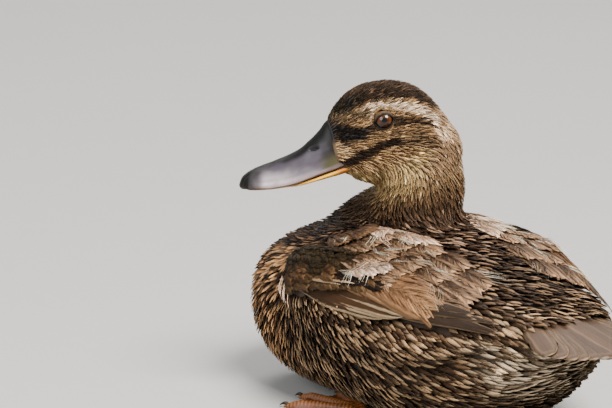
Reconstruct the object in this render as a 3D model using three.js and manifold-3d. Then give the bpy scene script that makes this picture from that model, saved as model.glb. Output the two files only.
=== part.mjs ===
// A hen mallard at rest, as a still, life-size museum figure.
//
// Units are millimetres and +Z is up. The bird faces -Y, its left side is +X and its belly rests on z = 0.
// Head, bill and eyes are modelled in the head's own frame: origin midway between the eyes, -Y ahead
// along the bill, +X to the bird's left. The body is modelled whole from lofts and parted with thin cuts.

import * as THREE from 'three';
import { mergeVertices } from 'three/addons/utils/BufferGeometryUtils.js';
import Module from 'manifold-3d';

const wasm = await Module();
wasm.setup();

// ---------------------------------------------------------------- driving dimensions

const GAP = 0.3;                 // clearance left between neighbouring solids
const REACH = 600;               // side of the blocks that cut the body, larger than the bird

const BREAST_FRONT = -110;       // where the breast ends ahead of the neck
const TRUNK_END = 152;           // tips of the under-tail coverts
const TAIL_TIP = 193;            // tips of the middle tail feathers
const TRUNK_HALF_WIDTH = 67;
const BACK_HEIGHT = 101;
const WIDEST_LEVEL = 47;         // height at which the flanks are fullest
const BELLY_SAG = 2;             // how far the belly would hang below the ground it is pressed flat on

const NECK_WIDTH = 45;           // feathered neck just below the cheeks, front to nape
const EYE_HEIGHT = 155;          // eye centre above the ground
const HEAD_TURN = THREE.MathUtils.degToRad(58);   // head turned to the bird's left
const HEAD_DROOP = THREE.MathUtils.degToRad(9);   // bill carried below level
const HEAD_AHEAD = 19.5;         // eye centre ahead of the neck's axis, along the bill

const CROWN = 19.2;              // crown above the eye centre
const THROAT = -38;              // throat below the eye centre
const HEAD_HALF_WIDTH = 20;
const OCCIPUT = -38;             // back of the head behind the eye centre
const BILL_TIP = 82;             // bill tip ahead of the eye centre
const GAPE = 25;                 // corner of the mouth ahead of the eye centre
const CULMEN_BASE = 31;          // where the forehead feathers meet the bill
const TOMIUM = -28.5;            // cutting edge of the bill below the eye centre, at its lowest
const BILL_HALF_WIDTH = 12;

const EYE_RADIUS = 6.2;
const EYE_OUT = 12.4;            // eyeball centre out from the middle plane

const WING_CHORD = 52;           // folded wing, upper to lower edge
const WING_DEPTH = 28;           // folded wing with its bedding of flank feathers, before it meets the trunk
const WING_PROUD = 6;            // how far the wing stands out from its own path
const FOOT_THICKNESS = 3.2;
const TOE_THICKNESS = 6;
const TARSUS_LENGTH = 43;
const TARSUS_THICKNESS = 6.4;
const MIDDLE_TOE = 50;
const HIND_TOE = 11;
const TOE_SPREAD = THREE.MathUtils.degToRad(24);   // between neighbouring front toes
const FOOT_TURN = THREE.MathUtils.degToRad(14);    // middle toe turned out from straight ahead
const FOOT_OUT = 43;             // toes' common root out from the middle plane
const FOOT_BACK = 14;            // toes' common root behind the neck's axis
const ANKLE_GAP = 4.4;           // tarsus starts this far behind the toes' root
const HEEL_OUT = 38;             // heel out from the middle plane

// ---------------------------------------------------------------- shape helpers

/** A smooth value along an axis, through a few [place, value] knots and never overshooting them. */
function through(...knots) {
    const slope = knots.slice(1).map(([at, value], i) => (value - knots[i][1]) / (at - knots[i][0]));
    const tangent = knots.map((_, i) => {
        const before = slope[i - 1] ?? slope[i];
        const after = slope[i] ?? slope[i - 1];
        return before * after <= 0 ? 0 : 2 * before * after / (before + after);
    });
    return (place) => {
        const last = knots.length - 2;
        const found = knots.findIndex(([at], i) => i > 0 && place <= at) - 1;
        const i = found < 0 ? (place <= knots[0][0] ? 0 : last) : found;
        const span = knots[i + 1][0] - knots[i][0];
        const t = THREE.MathUtils.clamp((place - knots[i][0]) / span, 0, 1);
        const [t2, t3] = [t * t, t * t * t];
        return (2 * t3 - 3 * t2 + 1) * knots[i][1] + (t3 - 2 * t2 + t) * span * tangent[i]
            + (3 * t2 - 2 * t3) * knots[i + 1][1] + (t3 - t2) * span * tangent[i + 1];
    };
}

/** One closed cross-section: a rounded shape with its own height above and below its widest level. */
function section({ halfWidth, top, bottom, mid, fullness = 2 }, sides) {
    return Array.from({ length: sides }, (_, i) => {
        const angle = 2 * Math.PI * i / sides;
        const [c, s] = [Math.cos(angle), Math.sin(angle)];
        const across = Math.sign(c) * Math.abs(c) ** (2 / fullness) * halfWidth;
        const up = Math.sign(s) * Math.abs(s) ** (2 / fullness) * (s > 0 ? top - mid : mid - bottom);
        return [across, mid + up];
    });
}

/** A closed solid through a row of rings of equal length, ended by fans to each end ring's middle. */
function loft(rings) {
    const sides = rings[0].length;
    const middle = (ring) => ring.reduce((sum, p) => sum.add(p), new THREE.Vector3()).divideScalar(sides);
    const points = [...rings.flat(), middle(rings[0]), middle(rings.at(-1))];
    const [first, last] = [points.length - 2, points.length - 1];
    const faces = [];
    for (let k = 0; k < sides; k++) {
        const next = (k + 1) % sides;
        for (let row = 0; row + 1 < rings.length; row++) {
            const [a, b] = [row * sides + k, row * sides + next];
            faces.push(a, b, b + sides, a, b + sides, a + sides);
        }
        const end = (rings.length - 1) * sides;
        faces.push(first, next, k, last, end + k, end + next);
    }
    const geometry = new THREE.BufferGeometry();
    geometry.setAttribute('position', new THREE.Float32BufferAttribute(points.flatMap((p) => p.toArray()), 3));
    geometry.setIndex(faces);
    return solid(geometry);
}

/** A loft along Y whose sections are given by a function of y; `grow` swells it on every side. */
function loftAlongY({ from, to, steps, sides, shape, grow = 0, round = 1 }) {
    const ys = Array.from({ length: steps + 1 }, (_, i) => {
        const t = i / steps;
        const eased = THREE.MathUtils.lerp(t, (1 - Math.cos(Math.PI * t)) / 2, round);
        return THREE.MathUtils.lerp(from, to, eased);
    });
    const rings = ys.map((y) => {
        const s = shape(y);
        const grown = { ...s, halfWidth: s.halfWidth + grow, top: s.top + grow, bottom: s.bottom - grow };
        const spread = THREE.MathUtils.lerp(from - Math.sign(to - from) * grow,
            to + Math.sign(to - from) * grow, (y - from) / (to - from));
        return section(grown, sides).map(([x, z]) => new THREE.Vector3(x, spread, z));
    });
    return loft(from < to ? rings.reverse() : rings);
}

/** A manifold solid from a closed three.js geometry. */
function solid(geometry) {
    const bare = geometry.clone();
    bare.deleteAttribute('normal');
    bare.deleteAttribute('uv');
    const merged = mergeVertices(bare, 1e-4);
    return new wasm.Manifold(new wasm.Mesh({
        numProp: 3,
        vertProperties: new Float32Array(merged.attributes.position.array),
        triVerts: new Uint32Array(merged.index.array),
    }));
}

/** The three.js geometry of a manifold solid. */
function geometryOf(body) {
    const mesh = body.getMesh();
    const geometry = new THREE.BufferGeometry();
    geometry.setAttribute('position', new THREE.Float32BufferAttribute(mesh.vertProperties, 3));
    geometry.setIndex([...mesh.triVerts]);
    geometry.computeVertexNormals();
    return geometry;
}

/** Everything on the side of a plane that its normal points to, kept half a gap away from the plane. */
function beyond(point, normal) {
    const block = new THREE.BoxGeometry(REACH, REACH, REACH);
    const direction = normal.clone().normalize();
    block.applyQuaternion(new THREE.Quaternion().setFromUnitVectors(new THREE.Vector3(0, 0, 1), direction));
    const centre = point.clone().addScaledVector(direction, REACH / 2 + GAP / 2);
    return solid(block.translate(centre.x, centre.y, centre.z));
}

/** The same solid mirrored to the bird's other side. */
function mirrored(body) {
    return body.mirror([1, 0, 0]);
}

// ---------------------------------------------------------------- head frame

const headPlace = new THREE.Group();
headPlace.position.set(HEAD_AHEAD * Math.sin(HEAD_TURN), -HEAD_AHEAD * Math.cos(HEAD_TURN), EYE_HEIGHT);
headPlace.rotation.set(HEAD_DROOP, 0, HEAD_TURN, 'ZYX');
headPlace.updateMatrix();

/** A solid of the head's frame, carried to the bird's. */
function inBird(body) {
    return body.transform([...headPlace.matrix.elements]);
}

/** A solid of the bird's frame, carried to the head's. */
function inHead(body) {
    return body.transform([...headPlace.matrix.clone().invert().elements]);
}

// ---------------------------------------------------------------- the body, whole

const trunkWidth = through([BREAST_FRONT, 9], [-105, 29], [-93, 48], [-72, 61], [-45, 66],
    [0, TRUNK_HALF_WIDTH], [45, 64], [80, 54], [108, 41], [135, 28], [TRUNK_END, 20]);
const trunkTop = through([BREAST_FRONT, 54], [-105, 66.5], [-93, 77], [-72, 87], [-45, 95],
    [-5, BACK_HEIGHT], [35, BACK_HEIGHT - 3], [75, 90.5], [108, 83], [135, 76], [TRUNK_END, 70.5]);
const trunkBottom = through([BREAST_FRONT, 39], [-105, 27], [-93, 12], [-72, 1.5], [-45, -BELLY_SAG],
    [0, -BELLY_SAG], [50, -BELLY_SAG], [80, 4], [108, 20], [135, 42], [TRUNK_END, 57]);
const trunkMid = through([BREAST_FRONT, 48], [-45, WIDEST_LEVEL], [45, WIDEST_LEVEL + 3], [108, 58],
    [TRUNK_END, 65]);
const trunkShape = (y) => ({
    halfWidth: trunkWidth(y), top: trunkTop(y), bottom: trunkBottom(y), mid: trunkMid(y), fullness: 2.4,
});

/** Breast, belly, back, rump and under-tail coverts in one. */
function trunkLoft(grow = 0) {
    return loftAlongY({
        from: BREAST_FRONT, to: TRUNK_END, steps: 18, sides: 32, shape: trunkShape, grow, round: 0.7,
    });
}

const tailWidth = through([110, 16], [135, 24], [165, 29], [182, 25], [TAIL_TIP, 9]);
const tailTop = through([110, 77], [135, 75], [165, 70], [TAIL_TIP, 66]);
const tailBottom = through([110, 58], [135, 59], [165, 63.5], [TAIL_TIP, 63.5]);
const tailShape = (y) => ({
    halfWidth: tailWidth(y),
    top: tailTop(y),
    bottom: tailBottom(y),
    mid: (tailTop(y) + tailBottom(y)) / 2,
    fullness: 2.4,
});

/** The fan of tail feathers, closed to a flat wedge with a rounded end. */
function tailLoft(grow = 0) {
    return loftAlongY({ from: 110, to: TAIL_TIP, steps: 9, sides: 20, shape: tailShape, grow, round: 0.5 });
}

const neckPath = new THREE.CatmullRomCurve3([
    new THREE.Vector3(0, -58, 50),
    new THREE.Vector3(0, -47, 70),
    new THREE.Vector3(0, -29, 86),
    new THREE.Vector3(0, -8, 98),
    new THREE.Vector3(-0.5, 1, 113),
    new THREE.Vector3(0.5, 0.5, 127),
    new THREE.Vector3(6, -3.5, 139),
]);
const neckRadius = through([0, 38], [0.2, 32], [0.4, 27], [0.6, 23.6], [0.78, NECK_WIDTH / 2],
    [0.94, NECK_WIDTH / 2 - 1.5], [1, NECK_WIDTH / 2 - 5]);

/** The feathered neck, drawn back over the breast and standing up to the head. */
function neckLoft() {
    const [steps, sides] = [14, 28];
    const rings = Array.from({ length: steps + 1 }, (_, i) => {
        const t = i / steps;
        const ahead = neckPath.getTangentAt(t);
        const left = new THREE.Vector3(1, 0, 0).addScaledVector(ahead, -ahead.x).normalize();
        const back = new THREE.Vector3().crossVectors(ahead, left);
        const centre = neckPath.getPointAt(t);
        return section({ halfWidth: neckRadius(t), top: neckRadius(t), bottom: -neckRadius(t), mid: 0 }, sides)
            .map(([a, b]) => centre.clone().addScaledVector(left, a).addScaledVector(back, b));
    });
    return loft(rings);
}

const headTop = through([OCCIPUT, -20], [-36, -14], [-33, -8.5], [-29, -0.6], [-25, 5.8], [-21, 10.6],
    [-16, 14.6], [-9, 17.6], [-2, CROWN - 0.3], [4, CROWN], [9, 18.8], [14, 17.4], [18, 15.6], [21.5, 13.2],
    [25, 9.9], [28, 6.3], [CULMEN_BASE, 2.4]);
const headBottom = through([OCCIPUT, -26], [-33, -36], [-10, THROAT], [4, THROAT], [12, -36],
    [23, -30.5], [CULMEN_BASE, -27]);
const headWidth = through([OCCIPUT, 6], [-35, 11.5], [-31, 15], [-24, 18.4], [-12, HEAD_HALF_WIDTH],
    [0, 18.8], [12, 15.8], [22, 12.8], [CULMEN_BASE, 10.8]);
const headMid = through([OCCIPUT, -23], [-33, -20], [-20, -13], [0, -12], [CULMEN_BASE, -14]);
const headShape = (y) => ({
    halfWidth: headWidth(-y), top: headTop(-y), bottom: headBottom(-y), mid: headMid(-y), fullness: 2.05,
});

/** The feathered head from the forehead to the occiput, without the bill. */
function headLoft() {
    return loftAlongY({
        from: -CULMEN_BASE, to: -OCCIPUT, steps: 18, sides: 26, shape: headShape, round: 0.7,
    });
}

// ---------------------------------------------------------------- bill

const billWidth = through([18, 10.4], [GAPE + 5, 10.6], [45, 9.9], [60, BILL_HALF_WIDTH - 0.4],
    [68, BILL_HALF_WIDTH], [75, 10], [79, 6], [BILL_TIP, 2.2]);
const culmen = through([18, 4.5], [28, 3.4], [CULMEN_BASE, 1.8], [35, -2.2], [41, -6.9], [46.6, -10.6],
    [52.6, -12.9], [63, -15.6], [73, -17.9], [79, -20.6], [BILL_TIP, -24]);
const tomium = through([18, -21], [GAPE - 2.5, -21.9], [CULMEN_BASE, -23.9], [38, -25.3], [46, -27],
    [54, -28.3], [62, TOMIUM], [72, -27.8], [BILL_TIP, -27.2]);
const mandibleDepth = through([18, 4.2], [30, 3.4], [38, 2.5], [50, 1.5], [60, 1], [BILL_TIP - 3, 1]);
const mandibleInset = through([18, 1], [40, 1.5], [60, 3.4], [BILL_TIP - 3, 2.6]);

/** The upper bill, high at the forehead and flattening to a broad rounded tip. */
function upperBillLoft(grow = 0) {
    const shape = (y) => ({
        halfWidth: billWidth(-y),
        top: culmen(-y),
        bottom: tomium(-y) - 0.4,
        mid: tomium(-y) + 1.6,
        fullness: 1.9,
    });
    return loftAlongY({ from: -BILL_TIP, to: -18, steps: 15, sides: 20, shape, grow, round: 0.6 });
}

/** The lower bill, a shallow trough under the upper one and a little shorter. */
function lowerBillLoft(grow = 0) {
    const shape = (y) => ({
        halfWidth: billWidth(-y) - mandibleInset(-y),
        top: tomium(-y) - 0.4 - GAP,
        bottom: tomium(-y) - 0.4 - GAP - mandibleDepth(-y),
        mid: tomium(-y) - 0.7 - GAP,
        fullness: 2.1,
    });
    return loftAlongY({ from: -(BILL_TIP - 2.5), to: -18, steps: 9, sides: 16, shape, grow, round: 0.6 });
}

/** One eyeball of the given radius. */
function eyeball(side, radius) {
    return solid(new THREE.SphereGeometry(radius, 16, 10).translate(side * EYE_OUT, 0, 0));
}

// ---------------------------------------------------------------- wings

const wingPath = new THREE.CatmullRomCurve3([
    new THREE.Vector3(54, -56, 61),
    new THREE.Vector3(62.5, -32, 64),
    new THREE.Vector3(65, 0, 66),
    new THREE.Vector3(61.5, 36, 66.5),
    new THREE.Vector3(50, 78, 68),
    new THREE.Vector3(31, 113, 72),
    new THREE.Vector3(11, 147, 75),
]);
const wingChord = through([0, 14], [0.06, 34], [0.2, 47], [0.4, WING_CHORD], [0.62, 48], [0.8, 34],
    [0.93, 18], [1, 6]);
const wingDepth = through([0, 4], [0.1, 16], [0.4, WING_DEPTH], [0.75, 17], [0.93, 7], [1, 2.6]);
const wingProud = through([0, 1.5], [0.12, 4.5], [0.4, WING_PROUD], [0.75, 4.5], [1, 1.3]);
const wingLean = through([0, 4], [0.35, 14], [0.6, 30], [0.8, 54], [1, 78]);

/** The folded left wing: a blade bedded in the flank, leaning over the back towards its tip. */
function wingLoft() {
    const [steps, sides] = [16, 16];
    const rings = Array.from({ length: steps + 1 }, (_, i) => {
        const t = i / steps;
        const ahead = wingPath.getTangentAt(t);
        const lean = THREE.MathUtils.degToRad(wingLean(t));
        const up = new THREE.Vector3(-Math.sin(lean), 0, Math.cos(lean));
        up.addScaledVector(ahead, -up.dot(ahead)).normalize();
        const out = new THREE.Vector3().crossVectors(ahead, up);
        const centre = wingPath.getPointAt(t).addScaledVector(out, wingProud(t) - wingDepth(t) / 2);
        const half = wingChord(t) / 2;
        const profile = { halfWidth: wingDepth(t) / 2, top: half, bottom: -half, mid: 0, fullness: 2.1 };
        return section(profile, sides)
            .map(([a, b]) => centre.clone().addScaledVector(out, a).addScaledVector(up, b));
    });
    return loft(rings.reverse());
}

// ---------------------------------------------------------------- legs and feet

const footPlace = new THREE.Matrix4().makeRotationZ(FOOT_TURN).setPosition(FOOT_OUT, FOOT_BACK, 0);
const frontToes = [
    { angle: -TOE_SPREAD, length: MIDDLE_TOE * 0.84 },
    { angle: 0, length: MIDDLE_TOE },
    { angle: TOE_SPREAD, length: MIDDLE_TOE * 0.93 },
];

/** A rounded bar from one point to another, pressed flat underneath at ground level. */
function limb(from, to, startWidth, endWidth, height) {
    const axis = new THREE.Vector3().subVectors(to, from);
    const length = axis.length();
    const rings = Array.from({ length: 6 }, (_, i) => {
        const t = i / 5;
        const end = Math.sqrt(Math.max(0.09, 1 - Math.abs(2 * t - 1) ** 8));
        const half = THREE.MathUtils.lerp(startWidth, endWidth, t) / 2 * end;
        return section({ halfWidth: half, top: height * end, bottom: -height * 0.2, mid: height * 0.45 }, 8)
            .map(([x, z]) => new THREE.Vector3(x, -t * length, Math.max(z, 0)));
    });
    const turn = Math.atan2(axis.x, -axis.y);
    const place = new THREE.Matrix4().makeRotationZ(turn).setPosition(from.x, from.y, from.z);
    return loft(rings).transform([...place.elements]);
}

/** The left foot: three webbed toes lying flat and pointing ahead. `grow` swells it. */
function foot(grow = 0) {
    const base = new THREE.Vector3(0, grow, 0);
    const tips = frontToes.map(({ angle, length }) =>
        new THREE.Vector3(Math.sin(angle), -Math.cos(angle), 0).multiplyScalar(length + grow));
    const web = new THREE.Shape();
    web.moveTo(5 + grow, 4 + grow);
    web.lineTo(-5 - grow, 4 + grow);
    web.lineTo(tips[0].x - grow, tips[0].y + 8);
    web.lineTo(tips[0].x, tips[0].y + 5 - grow);
    web.quadraticCurveTo(-7, -MIDDLE_TOE * 0.74 - grow, tips[1].x, tips[1].y + 6 - grow);
    web.quadraticCurveTo(8, -MIDDLE_TOE * 0.76 - grow, tips[2].x, tips[2].y + 5 - grow);
    web.lineTo(tips[2].x + grow, tips[2].y + 8);
    const sheet = solid(new THREE.ExtrudeGeometry(web, {
        depth: FOOT_THICKNESS - 1 + grow, bevelEnabled: false, curveSegments: 6,
    }));
    const toes = tips.map((tip) => limb(base, tip, TOE_THICKNESS + 1.4 + 2 * grow,
        TOE_THICKNESS - 1.6 + 2 * grow, TOE_THICKNESS - 0.8 + grow));
    toes.push(limb(new THREE.Vector3(-1, 0, 0), new THREE.Vector3(-HIND_TOE * 0.7 - grow, HIND_TOE * 0.7, 0),
        TOE_THICKNESS - 1 + 2 * grow, TOE_THICKNESS - 3 + 2 * grow, TOE_THICKNESS - 2 + grow));
    return toes.reduce((whole, toe) => whole.add(toe), sheet).transform([...footPlace.elements]);
}

/** The left tarsus, lying back along the ground from the foot to the heel. */
function tarsus(grow = 0) {
    const width = TARSUS_THICKNESS + 2 * grow;
    const ankle = new THREE.Vector3(FOOT_OUT, FOOT_BACK + ANKLE_GAP - grow, 0);
    const heel = new THREE.Vector3(HEEL_OUT, FOOT_BACK + ANKLE_GAP + TARSUS_LENGTH + grow, 0);
    return limb(heel, ankle, width + 2, width, TARSUS_THICKNESS + grow);
}

// ---------------------------------------------------------------- parting the body

const ground = beyond(new THREE.Vector3(0, 0, -GAP / 2), new THREE.Vector3(0, 0, 1));
const whole = trunkLoft().add(tailLoft()).add(neckLoft()).add(inBird(headLoft())).intersect(ground);

const throatPlane = new THREE.Plane()
    .setFromNormalAndCoplanarPoint(new THREE.Vector3(0, -0.2, 1).normalize(), new THREE.Vector3(0, 0, -30.5))
    .applyMatrix4(headPlace.matrix);
const headCut = { point: throatPlane.coplanarPoint(new THREE.Vector3()), normal: throatPlane.normal };
const neckCut = { point: new THREE.Vector3(0, -10, 101), normal: new THREE.Vector3(0, -0.22, 1) };
const tailCut = { point: new THREE.Vector3(0, 140, 70), normal: new THREE.Vector3(0, 1, -0.35) };
const flipped = (cut) => beyond(cut.point, cut.normal.clone().negate());

const billRoom = upperBillLoft(GAP).add(lowerBillLoft(GAP));
const eyeRoom = eyeball(1, EYE_RADIUS + GAP).add(eyeball(-1, EYE_RADIUS + GAP));
const head = inHead(whole.intersect(beyond(headCut.point, headCut.normal)))
    .subtract(billRoom).subtract(eyeRoom);
const neck = whole.intersect(flipped(headCut)).intersect(beyond(neckCut.point, neckCut.normal));
const legRoom = foot(GAP).add(tarsus(GAP));
const trunk = whole.intersect(flipped(neckCut)).intersect(flipped(tailCut))
    .subtract(legRoom).subtract(mirrored(legRoom));
const tail = whole.intersect(beyond(tailCut.point, tailCut.normal));
const bodyRoom = trunkLoft(GAP).add(tailLoft(GAP)).add(neckLoft());
const wing = wingLoft().subtract(bodyRoom)
    .intersect(beyond(new THREE.Vector3(0, 0, 0), new THREE.Vector3(1, 0, 0)));

// ---------------------------------------------------------------- the bird

const FINISH = {
    brownFeather: { color: 0x5b4636, roughness: 0.85, metalness: 0 },
    streakedFeather: { color: 0x6d5540, roughness: 0.85, metalness: 0 },
    flightFeather: { color: 0x6a5343, roughness: 0.75, metalness: 0 },
    horn: { color: 0x6e6876, roughness: 0.4, metalness: 0 },
    lowerHorn: { color: 0xb9793f, roughness: 0.45, metalness: 0 },
    webbedSkin: { color: 0xc8682c, roughness: 0.6, metalness: 0 },
    eye: { color: 0x2a120a, roughness: 0.08, metalness: 0 },
};

/** A named mesh of the given solid and finish. */
function piece(name, body, finish) {
    const mesh = new THREE.Mesh(geometryOf(body), new THREE.MeshStandardMaterial(FINISH[finish]));
    mesh.name = name;
    return mesh;
}

headPlace.add(
    piece('head', head, 'streakedFeather'),
    piece('bill_upper', upperBillLoft(), 'horn'),
    piece('bill_lower', lowerBillLoft(), 'lowerHorn'),
    piece('eye_left', eyeball(1, EYE_RADIUS), 'eye'),
    piece('eye_right', eyeball(-1, EYE_RADIUS), 'eye'),
);

const bird = new THREE.Group();
bird.add(
    headPlace,
    piece('neck', neck, 'streakedFeather'),
    piece('trunk', trunk, 'brownFeather'),
    piece('tail', tail, 'flightFeather'),
);
for (const [side, place] of [['left', (body) => body], ['right', mirrored]]) {
    bird.add(
        piece(`wing_${side}`, place(wing), 'flightFeather'),
        piece(`leg_${side}`, place(tarsus()), 'webbedSkin'),
        piece(`foot_${side}`, place(foot()), 'webbedSkin'),
    );
}

const box = new THREE.Box3().setFromObject(bird, true);
const middle = box.getCenter(new THREE.Vector3());
bird.position.set(-middle.x, -middle.y, -box.min.z);

const group = new THREE.Group();
group.add(bird);
export default group;
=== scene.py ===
"""Looks for a life-size still figure of a resting hen mallard.

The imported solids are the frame. One skin stands for the flesh, and closed feather vanes lie over it, each
set in the skin and pointing the way that plumage lies. Bill, eyes, lids, legs, feet and claws are pieces
of their own. The frame is in metres: +Z up, -Y where the breast faces, +X the bird's left. Lengths that
describe the bird are written in millimetres, in the head's or the body's own axes.
"""

import logging
import math
from dataclasses import dataclass, field, replace
from enum import Enum
from typing import Callable, Mapping, Sequence

import bpy
import numpy as np
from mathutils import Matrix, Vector
from mathutils.bvhtree import BVHTree
from mathutils.kdtree import KDTree


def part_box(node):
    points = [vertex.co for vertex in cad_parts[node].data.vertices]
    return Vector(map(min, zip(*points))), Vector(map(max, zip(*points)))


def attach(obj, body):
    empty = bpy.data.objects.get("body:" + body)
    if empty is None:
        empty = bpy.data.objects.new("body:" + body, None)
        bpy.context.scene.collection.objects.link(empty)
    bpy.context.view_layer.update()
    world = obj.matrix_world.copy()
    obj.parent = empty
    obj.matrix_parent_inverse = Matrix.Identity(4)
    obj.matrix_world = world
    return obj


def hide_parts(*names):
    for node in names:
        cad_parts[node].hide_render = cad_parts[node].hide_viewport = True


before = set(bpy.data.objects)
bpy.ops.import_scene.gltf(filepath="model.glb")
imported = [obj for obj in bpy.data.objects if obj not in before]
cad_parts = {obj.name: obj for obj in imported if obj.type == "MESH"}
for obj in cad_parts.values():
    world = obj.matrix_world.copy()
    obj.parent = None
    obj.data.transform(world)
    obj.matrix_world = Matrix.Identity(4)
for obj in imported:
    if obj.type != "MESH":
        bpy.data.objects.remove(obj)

Array = np.ndarray
Random = np.random.Generator
Mesh = bpy.types.Mesh
Piece = bpy.types.Object
Material = bpy.types.Material
Tree = bpy.types.NodeTree
Node = bpy.types.Node
Socket = bpy.types.NodeSocket
Sockets = Mapping[str, Socket]

MM = 0.001
TURN = 2.0 * math.pi
BODY = "root"
BAKE_MAP = "OFBake"
VANE_MAP = "Vane"
TUFT_PATCH = 0.003      # side of a feather's patch on the skin's unwrap
FLOOR_CLEARANCE = 0.25 * MM
GATHER = 1.5            # how strongly a feather's rings gather towards its tip

log = logging.getLogger("duck")
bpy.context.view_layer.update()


# ---- arithmetic


def unit(vectors: Array) -> Array:
    """The same vectors, each of length one."""
    return vectors / np.maximum(np.linalg.norm(vectors, axis=-1, keepdims=True), 1e-12)


def ease(values: Array, low: float, high: float) -> Array:
    """A smooth step: 0 up to low, 1 from high on; high may be the lesser."""
    t = np.clip((values - low) / (high - low), 0.0, 1.0)
    return t * t * (3.0 - 2.0 * t)


def lerp(a: Array, b: Array, t: Array) -> Array:
    """a where t is 0, b where t is 1."""
    return a + (b - a) * t


def through(*knots: tuple[float, float]) -> Callable[[Array], Array]:
    """A smooth curve of one value against another that never overshoots its knots.

    Args:
        knots: (place, value) pairs in rising order of place.

    Returns:
        A function of places that gives the values there.
    """
    at, value = (np.array(column, float) for column in zip(*knots))
    slope = np.diff(value) / np.diff(at)
    before = np.concatenate([slope[:1], slope])
    after = np.concatenate([slope, slope[-1:]])
    same = before * after > 0
    tangent = np.where(same, 2 * before * after / np.where(same, before + after, 1.0), 0.0)

    def curve(places: Array) -> Array:
        """The curve.

        Args:
            places: where the values are wanted.

        Returns:
            The values there, level past the first and last knot.
        """
        i = np.clip(np.searchsorted(at, places, side="right") - 1, 0, len(at) - 2)
        span = at[i + 1] - at[i]
        t = np.clip((places - at[i]) / span, 0.0, 1.0)
        rise = t * t * (3.0 - 2.0 * t)
        out = t * (1.0 - t) ** 2
        back = t * t * (t - 1.0)
        return lerp(value[i], value[i + 1], rise) + span * (out * tangent[i] + back * tangent[i + 1])

    return curve


def along_line(points: Array, line: Sequence[tuple[float, float, float]]) -> Array:
    """How far inside a brush stroke each point lies.

    Args:
        points: places in a plane, one row each.
        line: the stroke's middle line as (across, up, half width) in the same plane.

    Returns:
        1 on the middle line, 0 at the stroke's edge and below 0 outside it.
    """
    best = np.full(len(points), -1e9)
    knots = np.array(line, float)
    for start, end in zip(knots[:-1], knots[1:]):
        step = end[:2] - start[:2]
        t = np.clip((points - start[:2]) @ step / (step @ step), 0.0, 1.0)
        away = np.linalg.norm(points - start[:2] - t[:, None] * step, axis=1)
        best = np.maximum(best, 1.0 - away / lerp(start[2], end[2], t))
    return best


@dataclass(frozen=True)
class Ripple:
    """Smooth wandering values in space: a sum of waves in seeded directions."""

    size: float
    seed: int
    waves: int = 8

    def at(self, points: Array) -> Array:
        """The wandering values at places.

        Args:
            points: places, three numbers each along the last axis, in the size's unit.

        Returns:
            A value for each place, mostly between -1 and 1.
        """
        rng = np.random.default_rng(self.seed)
        pitch = rng.uniform(0.6, 1.7, (self.waves, 1)) * TURN / self.size
        directions = unit(rng.normal(size=(self.waves, 3))) * pitch
        phases = rng.uniform(0.0, TURN, self.waves)
        sums = np.sin(points.reshape(-1, 3) @ directions.T + phases).sum(axis=1)
        return sums.reshape(points.shape[:-1]) / math.sqrt(self.waves)


def circle(count: int) -> Array:
    """So many angles evenly round a circle."""
    return np.linspace(0.0, TURN, count, endpoint=False)


def outward(side: str) -> float:
    """1 for the bird's left, -1 for its right."""
    return 1.0 if side == "left" else -1.0


def above_floor(points: Array) -> Array:
    """The points with those that lie too low lifted just clear of the floor."""
    return np.column_stack([points[:, :2], np.maximum(points[:, 2], FLOOR_CLEARANCE)])


# Light that leaves a surface against the display value it is shown as, and the light on a side in the studio.
SHOWN = through((0, 0.0), (12, 0.0066), (28, 0.0163), (50, 0.0402), (73, 0.0733), (102, 0.1336), (118, 0.18),
                (150, 0.3286), (177, 0.599), (200, 1.09), (217, 1.99), (255, 6.0))
LUMA = np.array([0.3, 0.6, 0.1])
DISPLAY_GAMMA = 2.2
PLUMAGE_LIGHT = 2.3
SMOOTH_LIGHT = 5.6
GREYING = 0.06          # light that bounces between feathers warms them, and this share of grey offsets it


def linear(colour: Sequence[float], light: float = PLUMAGE_LIGHT, greying: float = 0.0) -> Array:
    """A colour as it shows in the studio as the linear one that shaders take.

    Args:
        colour: three channels of 0 to 255.
        light: how much light falls on it in the studio.
        greying: the share of grey that offsets light thrown back and forth.

    Returns:
        Its three linear channels.
    """
    shown = np.asarray(colour, float)
    level = float(shown @ LUMA)
    plain = (shown / max(level, 1.0)) ** DISPLAY_GAMMA * SHOWN(level) / light
    return np.clip(lerp(plain, plain @ LUMA, greying), 0.0, 0.9)


# ---- the head's and the body's axes


def middle_of(node: str) -> Array:
    """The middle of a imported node's box."""
    low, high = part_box(node)
    return (np.array(low) + np.array(high)) / 2.0


def ball_of(node: str) -> tuple[Array, float]:
    """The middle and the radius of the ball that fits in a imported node's box."""
    low, high = (np.array(corner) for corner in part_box(node))
    return middle_of(node), float((high - low).min() / 2.0)


@dataclass
class Axes:
    """A place to measure from, with three directions, in which lengths are in millimetres."""

    origin: Array
    rows: Array

    def local(self, points: Array) -> Array:
        """Frame points in these axes, in millimetres."""
        return (points - self.origin) @ self.rows.T / MM

    def world(self, local: Array) -> Array:
        """Points of these axes, in millimetres, as frame points."""
        return self.origin + np.asarray(local, float) * MM @ self.rows

    def turn(self, directions: Array) -> Array:
        """Directions of these axes as the frame's."""
        return np.asarray(directions, float) @ self.rows


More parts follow.
